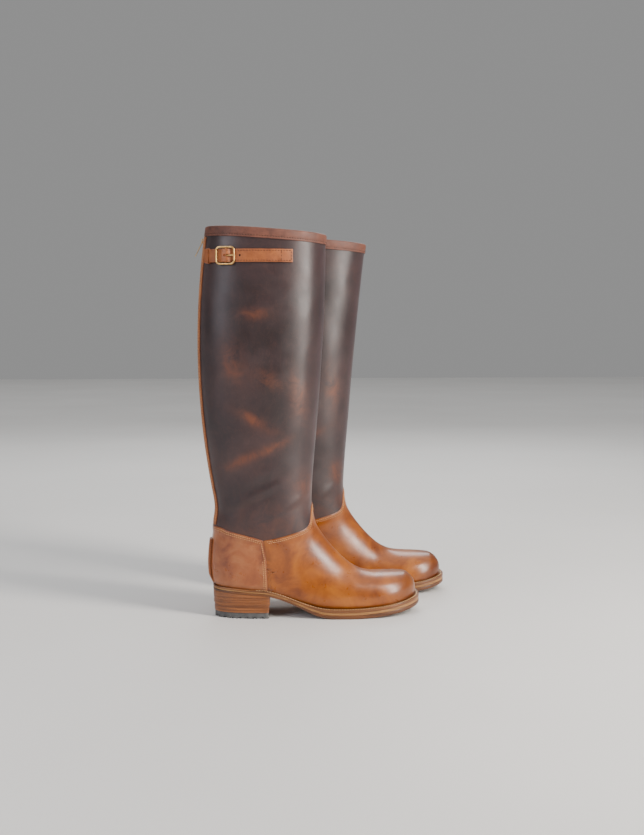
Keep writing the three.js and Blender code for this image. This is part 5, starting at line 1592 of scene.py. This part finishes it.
MATERIALS = {
    "shaft": waxed_shaft(),
    # The last colour of each tan leather is used for its burnished toe and for its painted shade at the
    # welt, seam edges and stitch rows.
    "vamp": tan_leather("honey_bridle_leather", "#6b3106", "#8e4a09", "#a65f14", "#4a2108"),
    "counter": tan_leather("russet_bridle_leather", "#74381c", "#965228", "#aa6a3e", "#552a15", 30.0),
    "trim": matt_leather("russet_trim_leather", "#4e2c22", "#784736"),
    "facing": matt_leather("tan_facing_leather", "#7a4224", "#a9663a"),
    "strap": matt_leather("tan_strap_leather", "#7c4120", "#aa6334", rough=(0.38, 0.56)),
    "lining": matt_leather("pale_lining_leather", "#94703f", "#bb9663", 0.8, (0.65, 0.85)),
    "welt": stacked_leather("dressed_welt_leather", "#54301a", "#84522a", 3.0),
    "midsole": stacked_leather("pale_midsole_leather", "#7a4d28", "#ad7c45", 2.0),
    "outsole": stacked_leather("brown_outsole_leather", "#432513", "#70421f", 3.0),
    "heel": stacked_leather("stacked_heel_leather", "#5f3418", "#96592a", 3.4),
    "thread": waxed_thread("russet_waxed_thread", "#a4683a", "#dda56a"),
    "dark_thread": waxed_thread("brown_waxed_thread", "#2c170e", "#57311c"),
    "light_thread": waxed_thread("natural_waxed_thread", "#b48a56", "#e6c898"),
    "brass": cast_metal("tumbled_brass", "#b98a4c", "#e0b878"),
    "teeth": cast_metal("aluminium_zip_teeth", "#8d8e8c", "#c4c4c0", (0.3, 0.45)),
    "tape": woven_tape(),
    "rubber": moulded_rubber(),
    "stiffener": board("fibre_stiffener_board", "#a08a62", "#cbb78e", 1.6),
    "cork": board("bottom_filler_cork", "#8a5f35", "#c2915b", 2.8),
    "steel": cast_metal("tempered_shank_steel", "#7f8183", "#a9abad", (0.25, 0.4)),
}


# ---- Putting the boots together -------------------------------------------------------------------------

# Each piece: what makes it, its finish, the record's material slot, the CAD node it stands for
# (None: it is part of another), the body it rides on (None: the boot itself).
PIECES = [
    (shaft, "shaft", "shaft_leather", "shaft", None),
    (shaft_lining, "lining", "lining_leather", "shaft_lining", None),
    (vamp, "vamp", "vamp_leather", "vamp", None),
    (counter, "counter", "counter_leather", "counter", None),
    (foot_lining, "lining", "lining_leather", "foot_lining", None),
    (sock_liner, "lining", "lining_leather", "sock_liner", None),
    (binding, "trim", "trim_leather", "top_binding", None),
    (spur_rest, "strap", "strap_leather", "spur_rest", None),
    (lambda side: zip_facing(side, "outer", -1), "facing", "trim_leather", "zip_facing_outer", None),
    (lambda side: zip_facing(side, "inner", 1), "facing", "trim_leather", "zip_facing_inner", None),
    (lambda side: zip_tape(side, "outer", -1), "tape", "zip_tape", "zip_tape_outer", None),
    (lambda side: zip_tape(side, "inner", 1), "tape", "zip_tape", "zip_tape_inner", None),
    (lambda side: zip_teeth(side, "outer", -1), "teeth", None, None, None),
    (lambda side: zip_teeth(side, "inner", 1), "teeth", None, None, None),
    (zip_slider, "brass", "brass", "zip_slider", "slider"),
    (zip_pull, "brass", "brass", "zip_pull", "pull"),
    (strap, "strap", "strap_leather", "strap", None),
    (chape, "strap", "strap_leather", "strap_chape", None),
    (buckle, "brass", "brass", "buckle_frame", None),
    (prong, "brass", "brass", "buckle_prong", "prong"),
    (welt, "welt", "welt_leather", "welt", None),
    (midsole, "midsole", "sole_leather", "midsole", None),
    (outsole, "outsole", "sole_leather", "outsole", None),
    (seat_lift, "heel", "heel_leather", "seat_lift", None),
    (lambda side: heel_lifts("heel_upper_leather", side, LOWER_LIFTS_TOP, UPPER_LIFTS_TOP, 3, 0.9),
     "heel", "heel_leather", "heel_lift_upper", None),
    (lambda side: heel_lifts("heel_lower_leather", side, TOPLIFT, LOWER_LIFTS_TOP, 3, 1.8),
     "heel", "heel_leather", "heel_lift_lower", None),
    (toplift, "rubber", "rubber", "heel_toplift", None),
    (vamp_threads, "thread", None, None, None),
    (counter_threads, "thread", None, None, None),
    (binding_threads, "dark_thread", None, None, None),
    (facing_threads, "thread", None, None, None),
    (strap_threads, "dark_thread", None, None, None),
    (welt_threads, "light_thread", None, None, None),
    (spur_threads, "thread", None, None, None),
]  # fmt: skip

# Pieces closed in by others, which stay as the CAD made them, and their finishes.
HIDDEN = {
    "heel_stiffener": "stiffener",
    "toe_puff": "stiffener",
    "insole": "lining",
    "cork_filler": "cork",
    "shank": "steel",
}


def dress(piece, finish):
    piece.data.materials.clear()
    piece.data.materials.append(MATERIALS[finish])


def blob(flat, centre, reach, tilt=0.0):
    """A soft round mark on the side of the leg."""
    x, z = flat[:, 0] - centre[0], flat[:, 1] - centre[1]
    run, rise = x * math.cos(tilt) + z * math.sin(tilt), z * math.cos(tilt) - x * math.sin(tilt)
    return np.exp(-((run / reach[0]) ** 2) - (rise / reach[1]) ** 2)


# Centre, reach and slant of the places where bending has lifted the wax.
PULL_UPS = [
    ((60, 408), (20, 7), 0.1), ((76, 322), (17, 10), -0.4), ((60, 268), (28, 7), -0.5),
    ((40, 214), (30, 6), 0.5), ((84, 232), (24, 5), 0.45), ((126, 180), (12, 16), 0.6),
    ((30, 346), (12, 26), 0.2), ((118, 300), (10, 30), 0.1),
]  # fmt: skip


def boot_frame(points, side):
    centre = JOINTS[f"{side}_zip"]["pos_m"]
    x = points[:, 0] * 1000 - centre[0] * 1000 + BACK_BULGE_X + BACK_RADIUS
    return np.stack([x, np.abs(points[:, 1] - centre[1]) * 1000, points[:, 2] * 1000], 1)


def pull_up(side):
    def value(points):
        local = boot_frame(points, side)
        marks = sum(blob(local[:, [0, 2]], *mark) for mark in PULL_UPS)
        folds = 1 - ease(local[:, 2], 128, 175)
        return np.clip(marks * 0.75 + folds * 0.25, 0, 1)

    return value


# Toe burnish, and painted shade where the upper meets the welt, beside the seam edges and along the stitch
# rows.
def toe_burnish_and_painted_shade(side):
    def value(points):
        local = boot_frame(points, side)
        # Real burnish, darker towards the toe.
        toe = ease(local[:, 0], 232, 280) * 0.55
        # Painted shade in the corner where the upper meets the welt.
        low = 1 - ease(local[:, 2] - feather_height(local[:, 0]), 0, 7)
        seams = [far_from(line, local) for line in (VAMP_TOP_LINE, COUNTER_TOP_LINE, COUNTER_FRONT_LINE)]
        edge = np.minimum.reduce(seams)
        # Painted shade beside the seam edges and along the stitch rows.
        rows = np.exp(-(((edge - 2.4) / 0.7) ** 2)) + np.exp(-(((edge - 4.6) / 0.7) ** 2))
        return np.clip(toe + 0.45 * low + 0.5 * (1 - ease(edge, 0, 1.4)) + 0.45 * rows, 0, 0.9)

    return value


for boot_side in SIDES:
    for maker, finish, slot_name, stands_for, body in PIECES:
        made = maker(boot_side)
        dress(made, finish)
        if finish == "shaft":
            paint(made, "pull_up", pull_up(boot_side))
        if finish in ("vamp", "counter"):
            # Burnish at the toe and painted shade at the welt, the seam edges and the stitch rows.
            paint(made, "toe_burnish_and_painted_shade", toe_burnish_and_painted_shade(boot_side))
        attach(made, f"{boot_side}_{body}" if body else "root")
        if stands_for:
            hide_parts(f"{boot_side}_{stands_for}")
    for name, finish in HIDDEN.items():
        carried = frame["nodes"][f"{boot_side}_{name}"]
        dress(carried, finish)


# ---- Camera, floor and light ---------------------------------------------------------------------------


def aim(thing, target):
    thing.rotation_euler = (Vector(target) - thing.location).to_track_quat("-Z", "Y").to_euler()


def add_camera():
    """Long view from the outer side of the right boot, a little above its middle."""
    data = bpy.data.cameras.new("camera")
    camera = bpy.data.objects.new("camera", data)
    bpy.context.scene.collection.objects.link(camera)
    data.lens, data.sensor_width = 47.8, 36
    data.clip_end = 50
    turn, pitch = math.radians(6), math.radians(4.31)
    camera.location = (JOINTS["right_zip"]["pos_m"][0] - 1.040846, -1.568, 0.382)
    ahead = Vector((math.sin(turn) * math.cos(pitch), math.cos(turn) * math.cos(pitch), -math.sin(pitch)))
    camera.rotation_euler = ahead.to_track_quat("-Z", "Y").to_euler()
    bpy.context.scene.camera = camera


def add_light(name, place_at, target, width, height, power, colour):
    data = bpy.data.lights.new(name, "AREA")
    data.shape, data.size, data.size_y, data.energy = "RECTANGLE", width, height, power
    data.color = linear(colour)[:3]
    light = bpy.data.objects.new(name, data)
    bpy.context.scene.collection.objects.link(light)
    light.location = place_at
    aim(light, target)
    return light


def add_floor():
    """Plain pale studio floor."""
    bpy.ops.object.select_all(action="DESELECT")
    bpy.ops.mesh.primitive_plane_add(size=16, location=(0, 0, 0))
    floor = bpy.context.object
    floor.name = "studio_floor"
    material, tree, shader, where = start("studio_paper")
    tone = ramp(tree, noise(tree, where, 600, 3, 0.5), [(0.3, "#d3d2d0"), (0.7, "#d9d8d6")])
    feed(tree, shader, Base_Color=tone, Roughness=0.85)
    floor.data.materials.append(material)
    return floor


add_camera()
middle = (0.0, 0.0, 0.25)
stage = [
    add_floor(),
    add_light("key_light", (1.35, -1.1, 1.1), middle, 0.45, 1.8, 74, "#fff8f0"),
    add_light("fill_light", (-1.9, -1.5, 1.2), middle, 1.2, 1.4, 24, "#f4f4ff"),
    add_light("back_light", (0.3, 2.0, 1.7), middle, 1.6, 0.9, 24, "#ffffff"),
    add_light("ceiling_light", (0, 2.5, 6.0), (0, 2.5, 0), 9.0, 9.0, 230, "#ffffff"),
]
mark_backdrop(*stage)
world = bpy.data.worlds.new("studio")
bpy.context.scene.world = world
world.use_nodes = True
world.node_tree.nodes["Background"].inputs["Color"].default_value = linear("#dadada")
world.node_tree.nodes["Background"].inputs["Strength"].default_value = 0.42

low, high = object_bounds()
corners = [[round(value, 5) for value in corner] for corner in (cad_low, cad_high, low, high)]
